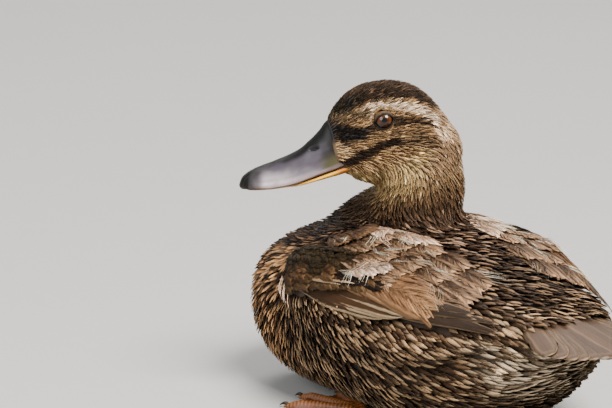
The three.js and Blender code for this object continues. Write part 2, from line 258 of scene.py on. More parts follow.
@dataclass
class Stance:
    """How the bird holds itself: the head's axes and the body's, found from the eyes.

    The head's axes are left, ahead along the bill and up, from midway between the eyes. The body's are
    left, back towards the tail and up, from the ground under the neck's axis.
    """

    droop: float = math.radians(9.0)
    head_ahead: float = 19.5 * MM
    head: Axes = field(init=False)
    body: Axes = field(init=False)

    def __post_init__(self) -> None:
        """Finds both sets of axes."""
        left_eye, right_eye = middle_of("eye_left"), middle_of("eye_right")
        left = unit(left_eye - right_eye)
        level = np.cross(left, [0.0, 0.0, 1.0])
        ahead = level * math.cos(self.droop) - np.array([0.0, 0.0, math.sin(self.droop)])
        between = (left_eye + right_eye) / 2.0
        self.head = Axes(between, np.array([left, ahead, np.cross(ahead, left)]))
        neck = between - level * self.head_ahead
        self.body = Axes(np.array([neck[0], neck[1], 0.0]), np.eye(3))


# ---- plumage tones


class Tone(Enum):
    """Plumage tones: the colour of a feather's middle and of its fringe, as display values."""

    CROWN = ((15, 10, 6), (106, 80, 57))
    FOREHEAD = ((7, 5, 2), (50, 41, 23))
    BROW = ((134, 104, 76), (226, 196, 162))
    BROW_FRONT = ((24, 17, 10), (164, 132, 92))
    LORES = ((4, 3, 2), (28, 19, 12))
    EYE_STRIPE = ((18, 12, 8), (100, 78, 54))
    UNDER_EYE = ((46, 32, 19), (152, 118, 82))
    BILL_SIDE = ((100, 72, 42), (202, 164, 116))
    CHEEK = ((92, 64, 36), (204, 160, 108))
    CHEEK_STRIPE = ((7, 4, 2), (44, 31, 18))
    HIND_CHEEK = ((54, 40, 26), (146, 116, 82))
    THROAT = ((156, 122, 72), (214, 178, 122))
    NAPE_PALE = ((178, 138, 102), (236, 200, 162))
    NAPE = ((118, 86, 56), (208, 168, 126))
    NECK = ((78, 56, 36), (182, 142, 98))
    # dark mantle feathers at the neck's base, darkened further with painted shade
    NECK_BASE_AND_SHADE = ((27, 18, 11), (122, 90, 62))
    BREAST = ((24, 15, 9), (214, 158, 104))
    MANTLE = ((44, 31, 22), (168, 130, 100))
    RUMP = ((38, 28, 20), (144, 112, 84))
    FLANK = ((58, 42, 30), (186, 148, 108))
    BELLY = ((140, 112, 82), (196, 168, 134))
    VENT = ((92, 70, 50), (214, 188, 154))
    # the lesser coverts' olive brown, darkened with painted shade
    OLIVE = ((30, 23, 11), (62, 49, 29))
    COVERT = ((56, 38, 23), (132, 96, 62))
    GREAT_COVERT = ((62, 44, 27), (120, 92, 60))
    TERTIAL = ((98, 66, 42), (192, 142, 96))
    SHOULDER = ((50, 34, 21), (158, 116, 80))
    SCAPULAR = ((38, 25, 15), (200, 154, 114))
    CREAM = ((172, 134, 92), (214, 184, 146))
    SHADED = ((14, 9, 6), (34, 24, 16))
    TOP_SCAPULAR = ((146, 106, 76), (240, 200, 166))
    PALE_SCAPULAR = ((122, 88, 64), (236, 198, 168))
    FLIGHT = ((54, 37, 22), (208, 176, 134))
    PRIMARY = ((40, 30, 22), (150, 122, 94))
    TAIL = ((70, 52, 38), (158, 128, 98))
    FRAY = ((214, 190, 162), (234, 214, 190))

    @property
    def middle(self) -> Array:
        """The linear colour of the feather's middle."""
        return linear(self.value[0], PLUMAGE_LIGHT, GREYING)

    @property
    def fringe(self) -> Array:
        """The linear colour of the feather's fringe."""
        return linear(self.value[1], PLUMAGE_LIGHT, GREYING)


class Coat:
    """The markings at places: middle and fringe colours, fringe width and strength of inner marks."""

    def __init__(self, count: int, tone: Tone, edge: float, marks: float) -> None:
        """Starts with one tone all over.

        Args:
            count: how many places.
            tone: the tone.
            edge: fringe width, as a share of the half width.
            marks: strength of the inner marks.
        """
        self.middle = np.tile(tone.middle, (count, 1))
        self.fringe = np.tile(tone.fringe, (count, 1))
        self.edge = np.full(count, edge)
        self.marks = np.full(count, marks)

    def lay(self, tone: Tone, mask: Array, edge: float | None = None, marks: float | None = None) -> None:
        """Lays one tone over the rest.

        Args:
            tone: the tone laid over the rest.
            mask: how strongly, which may leave 0 to 1.
            edge: its fringe width, if it has one of its own.
            marks: its strength of inner marks, if it has one of its own.
        """
        share = np.clip(mask, 0.0, 1.0)
        self.middle = lerp(self.middle, tone.middle, share[:, None])
        self.fringe = lerp(self.fringe, tone.fringe, share[:, None])
        if edge is not None:
            self.edge = lerp(self.edge, edge, share)
        if marks is not None:
            self.marks = lerp(self.marks, marks, share)

    def vary(self, rng: Random, value: float, warmth: float, flecks: float = 0.0) -> None:
        """Makes each feather a little lighter or darker and a little redder or greyer than the next.

        Args:
            rng: where the differences come from.
            value: how far feathers differ in lightness, as a logarithm.
            warmth: how far they differ in hue.
            flecks: the share of feathers that are as pale as their fringe all over.
        """
        pale = 0.8 * (rng.uniform(0.0, 1.0, len(self.middle)) < flecks)
        self.middle = lerp(self.middle, self.fringe, pale[:, None])
        light = np.exp(rng.normal(0.0, value, (len(self.middle), 1)))
        shift = rng.normal(0.0, warmth, (len(self.middle), 1)) * np.array([[1.0, 0.1, -1.0]])
        self.middle = np.clip(self.middle * light * (1.0 + shift), 0.0, 1.0)
        self.fringe = np.clip(self.fringe * np.sqrt(light) * (1.0 + shift), 0.0, 1.0)


@dataclass
class Markings:
    """Where each plumage tone lies, as strokes on the side of the head and zones of the body."""

    stance: Stance
    brow: tuple = ((14.5, 5.6, 0.7), (10, 7.2, 1.7), (5, 8.2, 2.2), (-1, 7.6, 2.6), (-9, 6.2, 3.4),
                   (-17, 3.2, 3.8), (-25, -1, 3.6))
    eye_front: tuple = ((9.0, 6.4, 1.5), (8.4, 1.6, 1.3))
    brow_front: tuple = ((28, 2.0, 3.4), (20, 3.6, 4.4), (12, 4.6, 4.0), (8, 4.8, 3.0))
    eye_stripe: tuple = ((28, -4, 6.4), (24, -5, 6.4), (18, -5.6, 4.6), (11, -3, 2.5), (4, -1, 3.6),
                         (-4, -0.4, 3.4), (-10, -1.4, 2.8), (-17, -3, 2.2), (-24, -5, 1.2))
    under_eye: tuple = ((25, -13, 3.4), (19, -9.4, 2.2), (10, -6.2, 1.6), (1, -6.6, 1.6), (-8, -6.2, 2.0),
                        (-17, -7.4, 2.2))
    bill_side: tuple = ((30, -12, 3.6), (25, -14, 3.8))
    cheek_stripe: tuple = ((27, -20.6, 3.0), (21, -18.2, 4.6), (13, -15.4, 4.4), (4, -12.8, 3.1),
                           (-3, -11.6, 1.8))
    hind_stripe: tuple = ((6, -12.8, 3.6), (-1, -11.6, 4.0), (-12, -12.6, 5.4), (-23, -14.6, 5.0))
    throat: tuple = ((30, -25, 4.0), (18, -29, 5.4), (5, -34, 7.0))
    nape_patch: tuple = ((-23, -4, 3.6), (-29, -9, 5.6))
    dark_back: Callable[[Array], Array] = through((28, -66), (36, -46), (41, -26), (46, -6), (64, 2),
                                                  (71, 10), (84, 17), (90, 19))
    crown_edge: Callable[[Array], Array] = through((-34, 0), (-21, 5.8), (-10, 9.6), (6, 10.6), (14, 8.6),
                                                   (21, 5.2), (28, 0.8), (34, -4))

    def at(self, points: Array) -> Coat:
        """The markings at places.

        Args:
            points: places in the frame.

        Returns:
            Their markings.
        """
        in_head, in_body = self.stance.head.local(points), self.stance.body.local(points)
        left, ahead, up = in_head.T
        x, y, z = in_body.T
        wander = Ripple(26.0, 11).at(in_body)
        wobble = 0.7 * Ripple(7.0, 5).at(in_head)
        coat = Coat(len(points), Tone.FLANK, 0.30, 0.45)
        coat.lay(Tone.BELLY, ease(z, 14, 5), 0.35, 0.2)
        back = ease(z - 66 - 0.1 * y, 0, 12)
        coat.lay(Tone.MANTLE, back, 0.2, 0.35)
        coat.lay(Tone.RUMP, back * ease(y, 44, 74), 0.24, 0.2)
        coat.lay(Tone.VENT, ease(y, 92, 118) * ease(z, 66, 56), 0.4, 0.5)
        coat.lay(Tone.BREAST, ease(y, -26, -46) * ease(z, 6, 18), 0.3, 0.5)
        round_flank = np.degrees(np.arctan2(z - 50.0, np.abs(x)))
        # the dark base of the neck and the mantle: partly their own dark brown, partly painted shade
        base_and_shade = ease(self.dark_back(round_flank) - y, -4, 5) * ease(round_flank, 26, 36)
        coat.lay(Tone.NECK_BASE_AND_SHADE, base_and_shade, 0.12, 0.0)
        on_neck = ease(z - 0.2 * y, 98, 121) * ease(np.hypot(x, y), 46, 34)
        coat.lay(Tone.NECK, on_neck, 0.45, 0.0)
        head = ease(0.2 * ahead + up, -44, -30) * ease(z, 104, 116)
        self.paint_head(coat, np.abs(left), ahead, up + wobble, head)
        shade = 1.0 + 0.10 * wander[:, None]
        coat.middle = coat.middle * shade
        coat.fringe = coat.fringe * shade
        return coat

    def paint_head(self, coat: Coat, side: Array, ahead: Array, up: Array, head: Array) -> None:
        """Lays the head's tones.

        Args:
            coat: what they are laid on.
            side: how far each place is to the side.
            ahead: how far ahead.
            up: how far up.
            head: 1 on the head, 0 off it.
        """
        place = np.column_stack([ahead, up])

        def stroke(line: Sequence, soft: float) -> Array:
            """A brush stroke that fades over the soft share of its half width."""
            return ease(along_line(place, line), 0.0, soft)

        over_crown = up - self.crown_edge(ahead)
        coat.lay(Tone.CHEEK, head, 0.42, 0.0)
        for tone, mask, edge in (
                (Tone.THROAT, ease(up + 0.35 * ahead, -19, -27), 0.42),
                (Tone.THROAT, stroke(self.throat, 0.6), 0.42),
                (Tone.NAPE, ease(ahead + 0.25 * up, -19, -29), 0.42),
                (Tone.HIND_CHEEK, stroke(self.hind_stripe, 0.8), None),
                (Tone.CHEEK_STRIPE, stroke(self.cheek_stripe, 0.55), None),
                (Tone.UNDER_EYE, stroke(self.under_eye, 0.5), 0.55),
                (Tone.BILL_SIDE, stroke(self.bill_side, 0.5), 0.6),
                (Tone.NAPE_PALE, stroke(self.nape_patch, 0.8), 0.55),
                (Tone.CROWN, ease(over_crown, -1.4, 1.2), 0.28),
                (Tone.FOREHEAD, ease(over_crown, -1.0, 2.0) * ease(ahead, 8, 20), 0.24),
                (Tone.BROW_FRONT, stroke(self.brow_front, 0.7), 0.45),
                (Tone.EYE_STRIPE, stroke(self.eye_stripe, 0.5), 0.3),
                (Tone.LORES, stroke(self.eye_stripe, 0.7) * ease(ahead, 9, 15), 0.25),
                (Tone.BROW, stroke(self.eye_front, 0.7), 0.5),
                (Tone.BROW, stroke(self.brow, 0.6), 0.55),
                (Tone.CROWN, ease(side, 8, 3) * ease(up, 2, 8) * ease(ahead, 26, 20), 0.36)):
            coat.lay(tone, head * mask, edge)


# ---- skin


# How far ahead the plumage of the face reaches at each level above the eyes' axis, in mm.
FACE_BORDER = through((-40, 20), (-30, 22), (-24, 24.5), (-21, 27), (-17, 28.4), (-7, 28.8), (-1, 29.6),
                      (3, 31.5))


@dataclass
class Hide:
    """The bird's outer form, which the plumage fills, and the one skin that lies under it."""

    stance: Stance
    markings: Markings
    flesh: tuple[str, ...] = ("head", "neck", "trunk", "tail", "wing_left", "wing_right")
    bills: tuple[str, ...] = ("bill_upper", "bill_lower")
    plug_end: float = 31.5
    plug_level: float = -12.0
    swell: float = 0.35 * MM
    voxel: float = 1.45 * MM
    smoothings: int = 46
    points: Array = field(init=False)
    faces: Array = field(init=False)
    normals: Array = field(init=False)
    map: Array = field(init=False)
    face_normals: Array = field(init=False)
    tree: BVHTree = field(init=False)

    def __post_init__(self) -> None:
        """Makes the form and what finds places on it."""
        points, self.faces = self.join()
        self.points = self.smoothed(points)
        self.normals = vertex_normals(self.points, self.faces)
        self.tree = BVHTree.FromPolygons(self.points.tolist(), self.faces.tolist())
        self.face_normals = unit(self.normals[self.faces].mean(axis=1))

    def join(self) -> tuple[Array, Array]:
        """The flesh nodes swelled over the gaps between them and remeshed as one closed surface.

        Returns:
            Its points, and its four-sided faces as indices of points.
        """
        solids = []
        for node in self.flesh + self.bills:
            own, triangles = merged(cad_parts[node].data)
            solids.append((self.plug(own) if node in self.bills else own, triangles))
        return largest_part(*voxelled(solids, self.voxel, self.swell))

    def plug(self, points: Array) -> Array:
        """Draws all of a bill that lies ahead of the plumage in to one point, so that it backs the face.

        Args:
            points: a bill's points in the frame.

        Returns:
            The changed points.
        """
        local = self.stance.head.local(points)
        local[local[:, 1] > self.plug_end] = [0.0, self.plug_end + 3.0, self.plug_level]
        return self.stance.head.world(local)

    def smoothed(self, points: Array) -> Array:
        """Evens the form out, much on the body and little on the head.

        Args:
            points: the form's points.

        Returns:
            The evened points.
        """
        edges = edges_of(self.faces)
        up = self.stance.body.local(points)[:, 2]
        share = lerp(0.5, 0.10, ease(up, 96, 122))[:, None]
        for _ in range(self.smoothings):
            points = relaxed(points, edges, share)
        return points

    def depth(self, points: Array) -> Array:
        """How deep the plumage is at places.

        Args:
            points: places in the frame.

        Returns:
            The depth at each, in metres.
        """
        side, ahead, up = self.stance.head.local(points).T
        z = self.stance.body.local(points)[:, 2]
        deep = lerp(4.4, 3.0, ease(z, 84, 112))
        head = ease(0.2 * ahead + up, -40, -24) * ease(z, 106, 118)
        face = lerp(2.2, 0.8, ease(ahead, -14, 16))
        near_eye = ease(np.hypot(ahead, up), 11.0, 5.5) * ease(np.abs(side), 6.0, 12.0)
        face = lerp(face, 0.55, near_eye)
        face = lerp(face, 0.5, ease(ahead, 22, 27))
        face = lerp(face, 1.5, ease(ahead - FACE_BORDER(up), 0.0, 1.6))
        return lerp(deep, face, head) * MM

    def thickness(self) -> Array:
        """How far it is from each point of the form straight through to the far side.

        Returns:
            A distance in metres for each point.
        """
        inside = self.points - self.normals * (0.3 * MM)
        rays = zip(inside.tolist(), (-self.normals).tolist())
        far = [self.tree.ray_cast(start, way)[3] for start, way in rays]
        return np.array([0.1 if hit is None else hit for hit in far])

    def build(self, finish: "SkinFinish") -> None:
        """Makes the skin, unwraps it and keeps the unwrap for the feathers' patches.

        Args:
            finish: the skin's finish.
        """
        sunk = np.minimum(self.depth(self.points), 0.33 * self.thickness())
        mesh = mesh_from("skin", above_floor(self.points - self.normals * sunk[:, None]), self.faces)
        coat = self.markings.at(self.points)
        mean = lerp(coat.middle, coat.fringe, 0.35 * np.clip(coat.edge, 0.0, 1.0)[:, None])
        paint(mesh, "Tint", mean)
        skin = add_piece("skin", mesh, finish.material())
        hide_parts(*self.flesh)
        self.map = unwrapped(skin).reshape(-1, 4, 2)

    def cast(self, starts: Array, ways: Array) -> tuple[Array, Array]:
        """Where rays meet the form.

        Args:
            starts: where they start, outside the form.
            ways: their directions.

        Returns:
            The places met and the faces there. A ray that misses takes the nearest place instead.
        """
        places, faces = [], []
        for start, way in zip(starts.tolist(), ways.tolist()):
            place, _, face, _ = self.tree.ray_cast(start, way)
            if place is None:
                place, _, face, _ = self.tree.find_nearest(start)
            places.append(place[:])
            faces.append(face)
        return np.array(places), np.array(faces)

    def nearest(self, points: Array) -> tuple[Array, Array, Array]:
        """Finds the form's nearest places.

        Args:
            points: places in the frame.

        Returns:
            The nearest place to each, the form's normal there and the face.
        """
        hits = [self.tree.find_nearest(point) for point in points.tolist()]
        faces = np.array([hit[2] for hit in hits])
        return np.array([hit[0][:] for hit in hits]), self.face_normals[faces], faces


def voxelled(solids: Sequence[tuple[Array, Array]], voxel: float, swell: float) -> tuple[Array, Array]:
    """Solids swelled over the gaps between them and remeshed as one closed surface.

    Args:
        solids: points and triangles of each.
        voxel: side of the remesher's grid, in metres.
        swell: how far each is swelled, in metres.

    Returns:
        Points, and four-sided faces as indices of points.
    """
    all_points, all_faces, start = [], [], 0
    for points, triangles in solids:
        all_points.append(points + vertex_normals(points, triangles) * swell)
        all_faces.append(triangles + start)
        start += len(points)
    rough = mesh_from("rough", np.vstack(all_points), np.vstack(all_faces))
    body = in_scene("rough", rough)
    remesh = body.modifiers.new("Remesh", "REMESH")
    remesh.mode = "VOXEL"
    remesh.voxel_size = voxel
    remesh.adaptivity = 0.0
    whole = bpy.data.meshes.new_from_object(body.evaluated_get(bpy.context.evaluated_depsgraph_get()))
    points = numbers(whole.vertices, "co", 3)
    faces = numbers(whole.loops, "vertex_index", 1, np.int32).reshape(-1, 4)
    bpy.data.objects.remove(body)
    bpy.data.meshes.remove(whole)
    bpy.data.meshes.remove(rough)
    return points, faces


def relaxed(points: Array, edges: Array, share: Array | float) -> Array:
    """Moves points towards the mean of their neighbours.

    Args:
        points: the points of a mesh.
        edges: its edges.
        share: how far each point moves, 1 for all the way.

    Returns:
        The moved points.
    """
    ends = edges.T
    count = np.bincount(edges.ravel(), minlength=len(points))[:, None]
    total = np.column_stack([
        np.bincount(ends[0], points[ends[1], k], len(points))
        + np.bincount(ends[1], points[ends[0], k], len(points)) for k in range(3)])
    return points + (total / count - points) * share


def merged(mesh: Mesh) -> tuple[Array, Array]:
    """Joins a mesh's double points.

    Args:
        mesh: the mesh.

    Returns:
        Its points, and its triangles as indices of points.
    """
    mesh.calc_loop_triangles()
    points = numbers(mesh.vertices, "co", 3)
    corners = numbers(mesh.loop_triangles, "vertices", 3, np.int32)
    _, first, back = np.unique(np.round(points, 7), axis=0, return_index=True, return_inverse=True)
    return points[first], back.ravel()[corners]


def numbers(items: Sequence, name: str, width: int, kind: type = np.float32) -> Array:
    """One property of a Blender collection.

    Args:
        items: the collection.
        name: the property.
        width: how many numbers it has.
        kind: their type.

    Returns:
        A row for each item, or one number where the width is 1.
    """
    found = np.empty(len(items) * width, kind)
    items.foreach_get(name, found)
    wide = found.astype(float) if kind is np.float32 else found
    return wide.reshape(-1, width) if width > 1 else wide


def edges_of(faces: Array) -> Array:
    """The edges of a mesh, once each, as pairs of points."""
    pairs = np.concatenate([np.column_stack([faces[:, i - 1], faces[:, i]]) for i in range(faces.shape[1])])
    return np.unique(np.sort(pairs, axis=1), axis=0)


def largest_part(points: Array, faces: Array) -> tuple[Array, Array]:
    """The largest connected part of a mesh, so that no closed-off pocket stays inside.

    Args:
        points: the points of a mesh.
        faces: its faces.

    Returns:
        The points and faces of that part.
    """
    edges = edges_of(faces)
    label = np.arange(len(points))
    while True:
        least = np.minimum(label[edges[:, 0]], label[edges[:, 1]])
        before = label.copy()
        np.minimum.at(label, edges[:, 0], least)
        np.minimum.at(label, edges[:, 1], least)
        label = label[label]
        if np.array_equal(before, label):
            break
    kept = label == np.bincount(label).argmax()
    new_index = np.cumsum(kept) - 1
    return points[kept], new_index[faces[kept[faces[:, 0]]]]


def vertex_normals(points: Array, faces: Array) -> Array:
    """Outward normals at points, weighted by the faces' areas.

    Args:
        points: the points of a mesh.
        faces: its three-sided or four-sided faces.

    Returns:
        A direction of length one for each point.
    """
    # the two diagonals of four corners, or two sides of three
    a, b, c, d = (0, 2, 1, 3) if faces.shape[1] == 4 else (0, 1, 0, 2)
    across = np.cross(points[faces[:, b]] - points[faces[:, a]], points[faces[:, d]] - points[faces[:, c]])
    corners = faces.ravel()
    spread = np.repeat(across, faces.shape[1], axis=0)
    return unit(np.column_stack([np.bincount(corners, spread[:, k], len(points)) for k in range(3)]))


def mesh_from(name: str, points: Array, faces: Array, caps: Array | None = None) -> Mesh:
    """A smooth-shaded mesh.

    Args:
        name: the mesh's name.
        points: its points.
        faces: its faces, all with the same number of corners.
        caps: more faces, with another number of corners.

    Returns:
        The mesh.
    """
    groups = [faces] if caps is None or not len(caps) else [faces, caps]
    corners = np.concatenate([group.ravel() for group in groups]).astype(np.int32)
    counts = np.concatenate([np.full(len(group), group.shape[1]) for group in groups])
    mesh = bpy.data.meshes.new(name)
    mesh.vertices.add(len(points))
    mesh.vertices.foreach_set("co", np.asarray(points, np.float32).ravel())
    mesh.loops.add(len(corners))
    mesh.loops.foreach_set("vertex_index", corners)
    mesh.polygons.add(len(counts))
    mesh.polygons.foreach_set("loop_start", (np.cumsum(counts) - counts).astype(np.int32))
    mesh.polygons.foreach_set("use_smooth", np.ones(len(counts), bool))
    mesh.update(calc_edges=True)
    return mesh


def paint(mesh: Mesh, name: str, colours: Array) -> None:
    """Stores a linear colour for each point of a mesh.

    Args:
        mesh: the mesh.
        name: the layer's name.
        colours: three or four channels for each point.
    """
    full = np.ones((len(colours), 4), np.float32)
    full[:, : colours.shape[1]] = colours
    layer = mesh.color_attributes.new(name, "FLOAT_COLOR", "POINT")
    layer.data.foreach_set("color", full.ravel())


def lay_map(mesh: Mesh, name: str, places: Array) -> None:
    """Stores flat places as a UV map.

    Args:
        mesh: the mesh.
        name: the map's name.
        places: a place for each point.
    """
    corners = numbers(mesh.loops, "vertex_index", 1, np.int32)
    layer = mesh.uv_layers.new(name=name, do_init=False)
    layer.uv.foreach_set("vector", places[corners].astype(np.float32).ravel())


def unwrapped(piece: Piece) -> Array:
    """Unwraps a piece's own shape into its bake map.

    Args:
        piece: the piece.

    Returns:
        The flat place of each face corner.
    """
    piece.data.uv_layers.new(name=BAKE_MAP)
    bpy.ops.object.select_all(action="DESELECT")
    piece.select_set(True)
    bpy.context.view_layer.objects.active = piece
    bpy.ops.object.mode_set(mode="EDIT")
    bpy.ops.mesh.select_all(action="SELECT")
    bpy.ops.uv.smart_project(angle_limit=math.radians(66), island_margin=0.004, scale_to_bounds=True)
    bpy.ops.object.mode_set(mode="OBJECT")
    return numbers(piece.data.uv_layers[BAKE_MAP].uv, "vector", 2)


def in_scene(name: str, data: bpy.types.ID) -> Piece:
    """Puts a mesh, a lamp or a camera in the scene.

    Args:
        name: its name.
        data: what it shows.

    Returns:
        The object.
    """
    made = bpy.data.objects.new(name, data)
    bpy.context.scene.collection.objects.link(made)
    return made


def add_piece(name: str, mesh: Mesh, material: Material) -> Piece:
    """Puts a mesh in the scene as a dressed piece that rides on the bird's one body.

    Args:
        name: its name.
        mesh: its mesh.
        material: its material.

    Returns:
        The piece.
    """
    piece = in_scene(name, mesh)
    piece.data.materials.append(material)
    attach(piece, BODY)
    log.info("%s: %d points", name, len(mesh.vertices))
    return piece


# ---- the lie of the plumage


def along_surface(ways: Array, normals: Array) -> Array:
    """Directions laid flat on the surface that has these normals."""
    return unit(ways - normals * np.sum(ways * normals, axis=1, keepdims=True))


@dataclass
class Lie:
    """Which way feathers point at each place, from root to tip along the surface."""

    stance: Stance
    parting: tuple[float, float, float] = (0.0, 44.0, -15.0)
    collar: tuple[float, float, float] = (0.0, 4.0, 118.0)
    lid_reach: float = 9.5

    def at(self, points: Array, normals: Array) -> Array:
        """The way that feathers point at places.

        Args:
            points: places in the frame.
            normals: the form's normals there.

        Returns:
            Directions of length one along the surface.
        """
        local = self.stance.head.local(points)
        ahead, up = local[:, 1], local[:, 2]
        y, z = self.stance.body.local(points).T[1:]
        from_bill = self.stance.head.turn(unit(local - np.array(self.parting)) + np.array([0.0, -0.3, 0.0]))
        down = np.array([0.0, 0.0, -1.0])
        turning = 1.0 - (1.0 - ease(up, -16, -36)) * (1.0 - ease(ahead, -18, -33))
        head_way = lerp(unit(from_bill), down, 0.9 * turning[:, None])
        head_way = self.round_eye(local, head_way)
        breast, body = np.array([0.0, 0.55, -0.83]), np.array([0.0, 1.0, -0.13])
        from_neck = unit(self.stance.body.local(points) - np.array(self.collar))
        body_way = lerp(breast, from_neck, ease(z, 42, 66)[:, None])
        body_way = lerp(body_way, body, ease(y, -58, 6)[:, None])
        body_way = lerp(body_way, down, ease(z - 0.15 * y, 96, 116)[:, None])
        on_head = ease(0.2 * ahead + up, -44, -28) * ease(z, 100, 116)
        way = lerp(body_way, head_way, on_head[:, None])
        return along_surface(way, normals)

    def round_eye(self, local: Array, way: Array) -> Array:
        """Turns feathers near an eye aside, so that they pass round the lids and don't point into them.

        Args:
            local: places in the head's axes.
            way: the directions there.

        Returns:
            The turned directions.
        """
        flat = np.column_stack([np.zeros(len(local)), local[:, 1:]])
        out = self.stance.head.turn(unit(flat))
        inward = np.minimum(np.sum(way * out, axis=1) - 0.15, 0.0)
        near = ease(np.linalg.norm(flat, axis=1), self.lid_reach, 5.0) * ease(np.abs(local[:, 0]), 6.0, 11.0)
        return unit(way - out * (inward * near)[:, None])


# ---- feathers


@dataclass(frozen=True)
class Cut:
    """The shape of one kind of feather.

    Attributes:
        along: rings of points from root to tip.
        across: points across the upper face.
        widest: share of the length at which the vane starts to close.
        point: 0 for a round tip, 1 for a sharp one.
        thickness: at the shaft, in metres.
        camber: how far the edges drop, in half widths.
        fray: unevenness of the edges, in half widths.
    """

    along: int = 5
    across: int = 3
    widest: float = 0.4
    point: float = 0.6
    thickness: float = 0.35 * MM
    camber: float = 0.25
    fray: float = 0.1

    def stations(self) -> Array:
        """Shares of the length at which the rings stand, closer together towards the tip."""
        return 1.0 - (1.0 - np.linspace(0.0, 1.0, self.along)) ** GATHER

    def outline(self, share: Array) -> Array:
        """How wide the vane is along its length.

        Args:
            share: shares of the length from the root.

        Returns:
            Half widths there, for a full half width of 1.
        """
        over = np.clip((share - self.widest) / (1.0 - self.widest), 0.0, 1.0)
        tip = lerp(np.sqrt(np.maximum(1.0 - over**2.4, 0.0)), 1.0 - over**1.2, self.point)
        return np.maximum((0.3 + 0.7 * ease(share, 0.0, 0.35)) * tip, 0.07)


@dataclass
class Plumes:
    """A batch of feathers of one cut: where they run, how wide they are and what they look like.

    Attributes:
        lines: points of each shaft from root to tip.
        ups: outward directions at those points.
        half: half widths.
        coat: their colours.
        patch: corner of each feather's patch on the bake map, and its sides.
        roll: how far the side that faces down is lifted, in half widths.
    """

    lines: Array
    ups: Array
    half: Array
    coat: Coat
    patch: Array
    roll: Array


Batches = Sequence[tuple[Cut, Plumes]]


def patches_on(map_places: Array) -> Array:
    """The small patches on the skin's unwrap around the feathers' roots, as corner and sides."""
    side = np.full_like(map_places, TUFT_PATCH)
    return np.hstack([map_places - side / 2.0, side])


def woven(name: str, batches: Batches, rng: Random) -> Mesh:
    """Closed vanes for batches of feathers, joined as one mesh.

    Args:
        name: the mesh's name.
        batches: feathers with their cuts; all cuts have the same number of points across.
        rng: where the unevenness comes from.

    Returns:
        The mesh, with its vane map, bake map and colours.
    """
    columns: dict[str, list[Array]] = {}
    start = 0
    for cut, plumes in batches:
        count, rings, ring = len(plumes.half), cut.along, cut.across
        share = np.linspace(-1.0, 1.0, ring)
        station = cut.stations()
        tangents = unit(np.gradient(plumes.lines, axis=1))
        sides = unit(np.cross(tangents, plumes.ups))
        reach = plumes.half[:, None] * cut.outline(station)
        uneven = 1.0 + cut.fray * rng.uniform(-1.0, 0.4, (count, rings, 2))
        offset = reach[..., None] * share * np.where(share < 0, uneven[..., :1], uneven[..., 1:])
        rise = cut.thickness * np.clip(1.0 - share**2, 0.0, 1.0) * np.clip(1.2 - station, 0.2, 1.0)[:, None]
        drop = -cut.camber * reach[..., None] * share**2
        drop = drop + plumes.roll[:, None, None] * reach[..., None] * share
        points = (plumes.lines[:, :, None, :] + sides[:, :, None, :] * offset[..., None]
                  + plumes.ups[:, :, None, :] * (rise + drop)[..., None])
        index = start + np.arange(count * rings * ring).reshape(count, rings, ring)
        right = np.roll(index, -1, axis=2)
        vane = np.stack(np.broadcast_arrays((share + 1.0) / 2.0, station[:, None]), axis=-1)
        vane = np.broadcast_to(vane, (count, rings, ring, 2))
        patch, coat = plumes.patch[:, None, None], plumes.coat
        batch = {
            "points": points.reshape(-1, 3),
            "quads": np.stack([index[:, :-1], right[:, :-1], right[:, 1:], index[:, 1:]], -1).reshape(-1, 4),
            "caps": np.concatenate([index[:, 0, ::-1], index[:, -1]]),
            "vane": vane.reshape(-1, 2),
            "bake": (patch[..., :2] + vane * patch[..., 2:]).reshape(-1, 2),
            "middle": np.repeat(np.column_stack([coat.middle, coat.edge]), rings * ring, axis=0),
            "fringe": np.repeat(np.column_stack([coat.fringe, coat.marks]), rings * ring, axis=0)}
        for key, values in batch.items():
            columns.setdefault(key, []).append(values)
        start += count * rings * ring
    whole = {key: np.concatenate(values) for key, values in columns.items()}
    mesh = mesh_from(name, above_floor(whole["points"]), whole["quads"], whole["caps"])
    lay_map(mesh, VANE_MAP, whole["vane"])
    lay_map(mesh, BAKE_MAP, whole["bake"])
    paint(mesh, "Middle", whole["middle"])
    paint(mesh, "Fringe", whole["fringe"])
    return mesh


@dataclass(frozen=True)
class Crop:
    """How one stretch of small feathers grows.

    Attributes:
        name: the piece's name.
        cut: the feathers' shape.
        length: feather length, as a share of the spacing between roots.
        width: full width, as a share of the spacing.
        jitter: how far a tip strays outward, in mm.
        sway: how far a feather's direction strays, in degrees.
        contrast: how much lighter or darker one feather is than the next.
        flecks: the share of feathers that are pale all over.
        broad: whether the feathers are locks of broad ones.
    """

    name: str
    cut: Cut
    length: float
    width: float
    jitter: float
    sway: float
    contrast: float = 0.2
    flecks: float = 0.0
    broad: bool = False


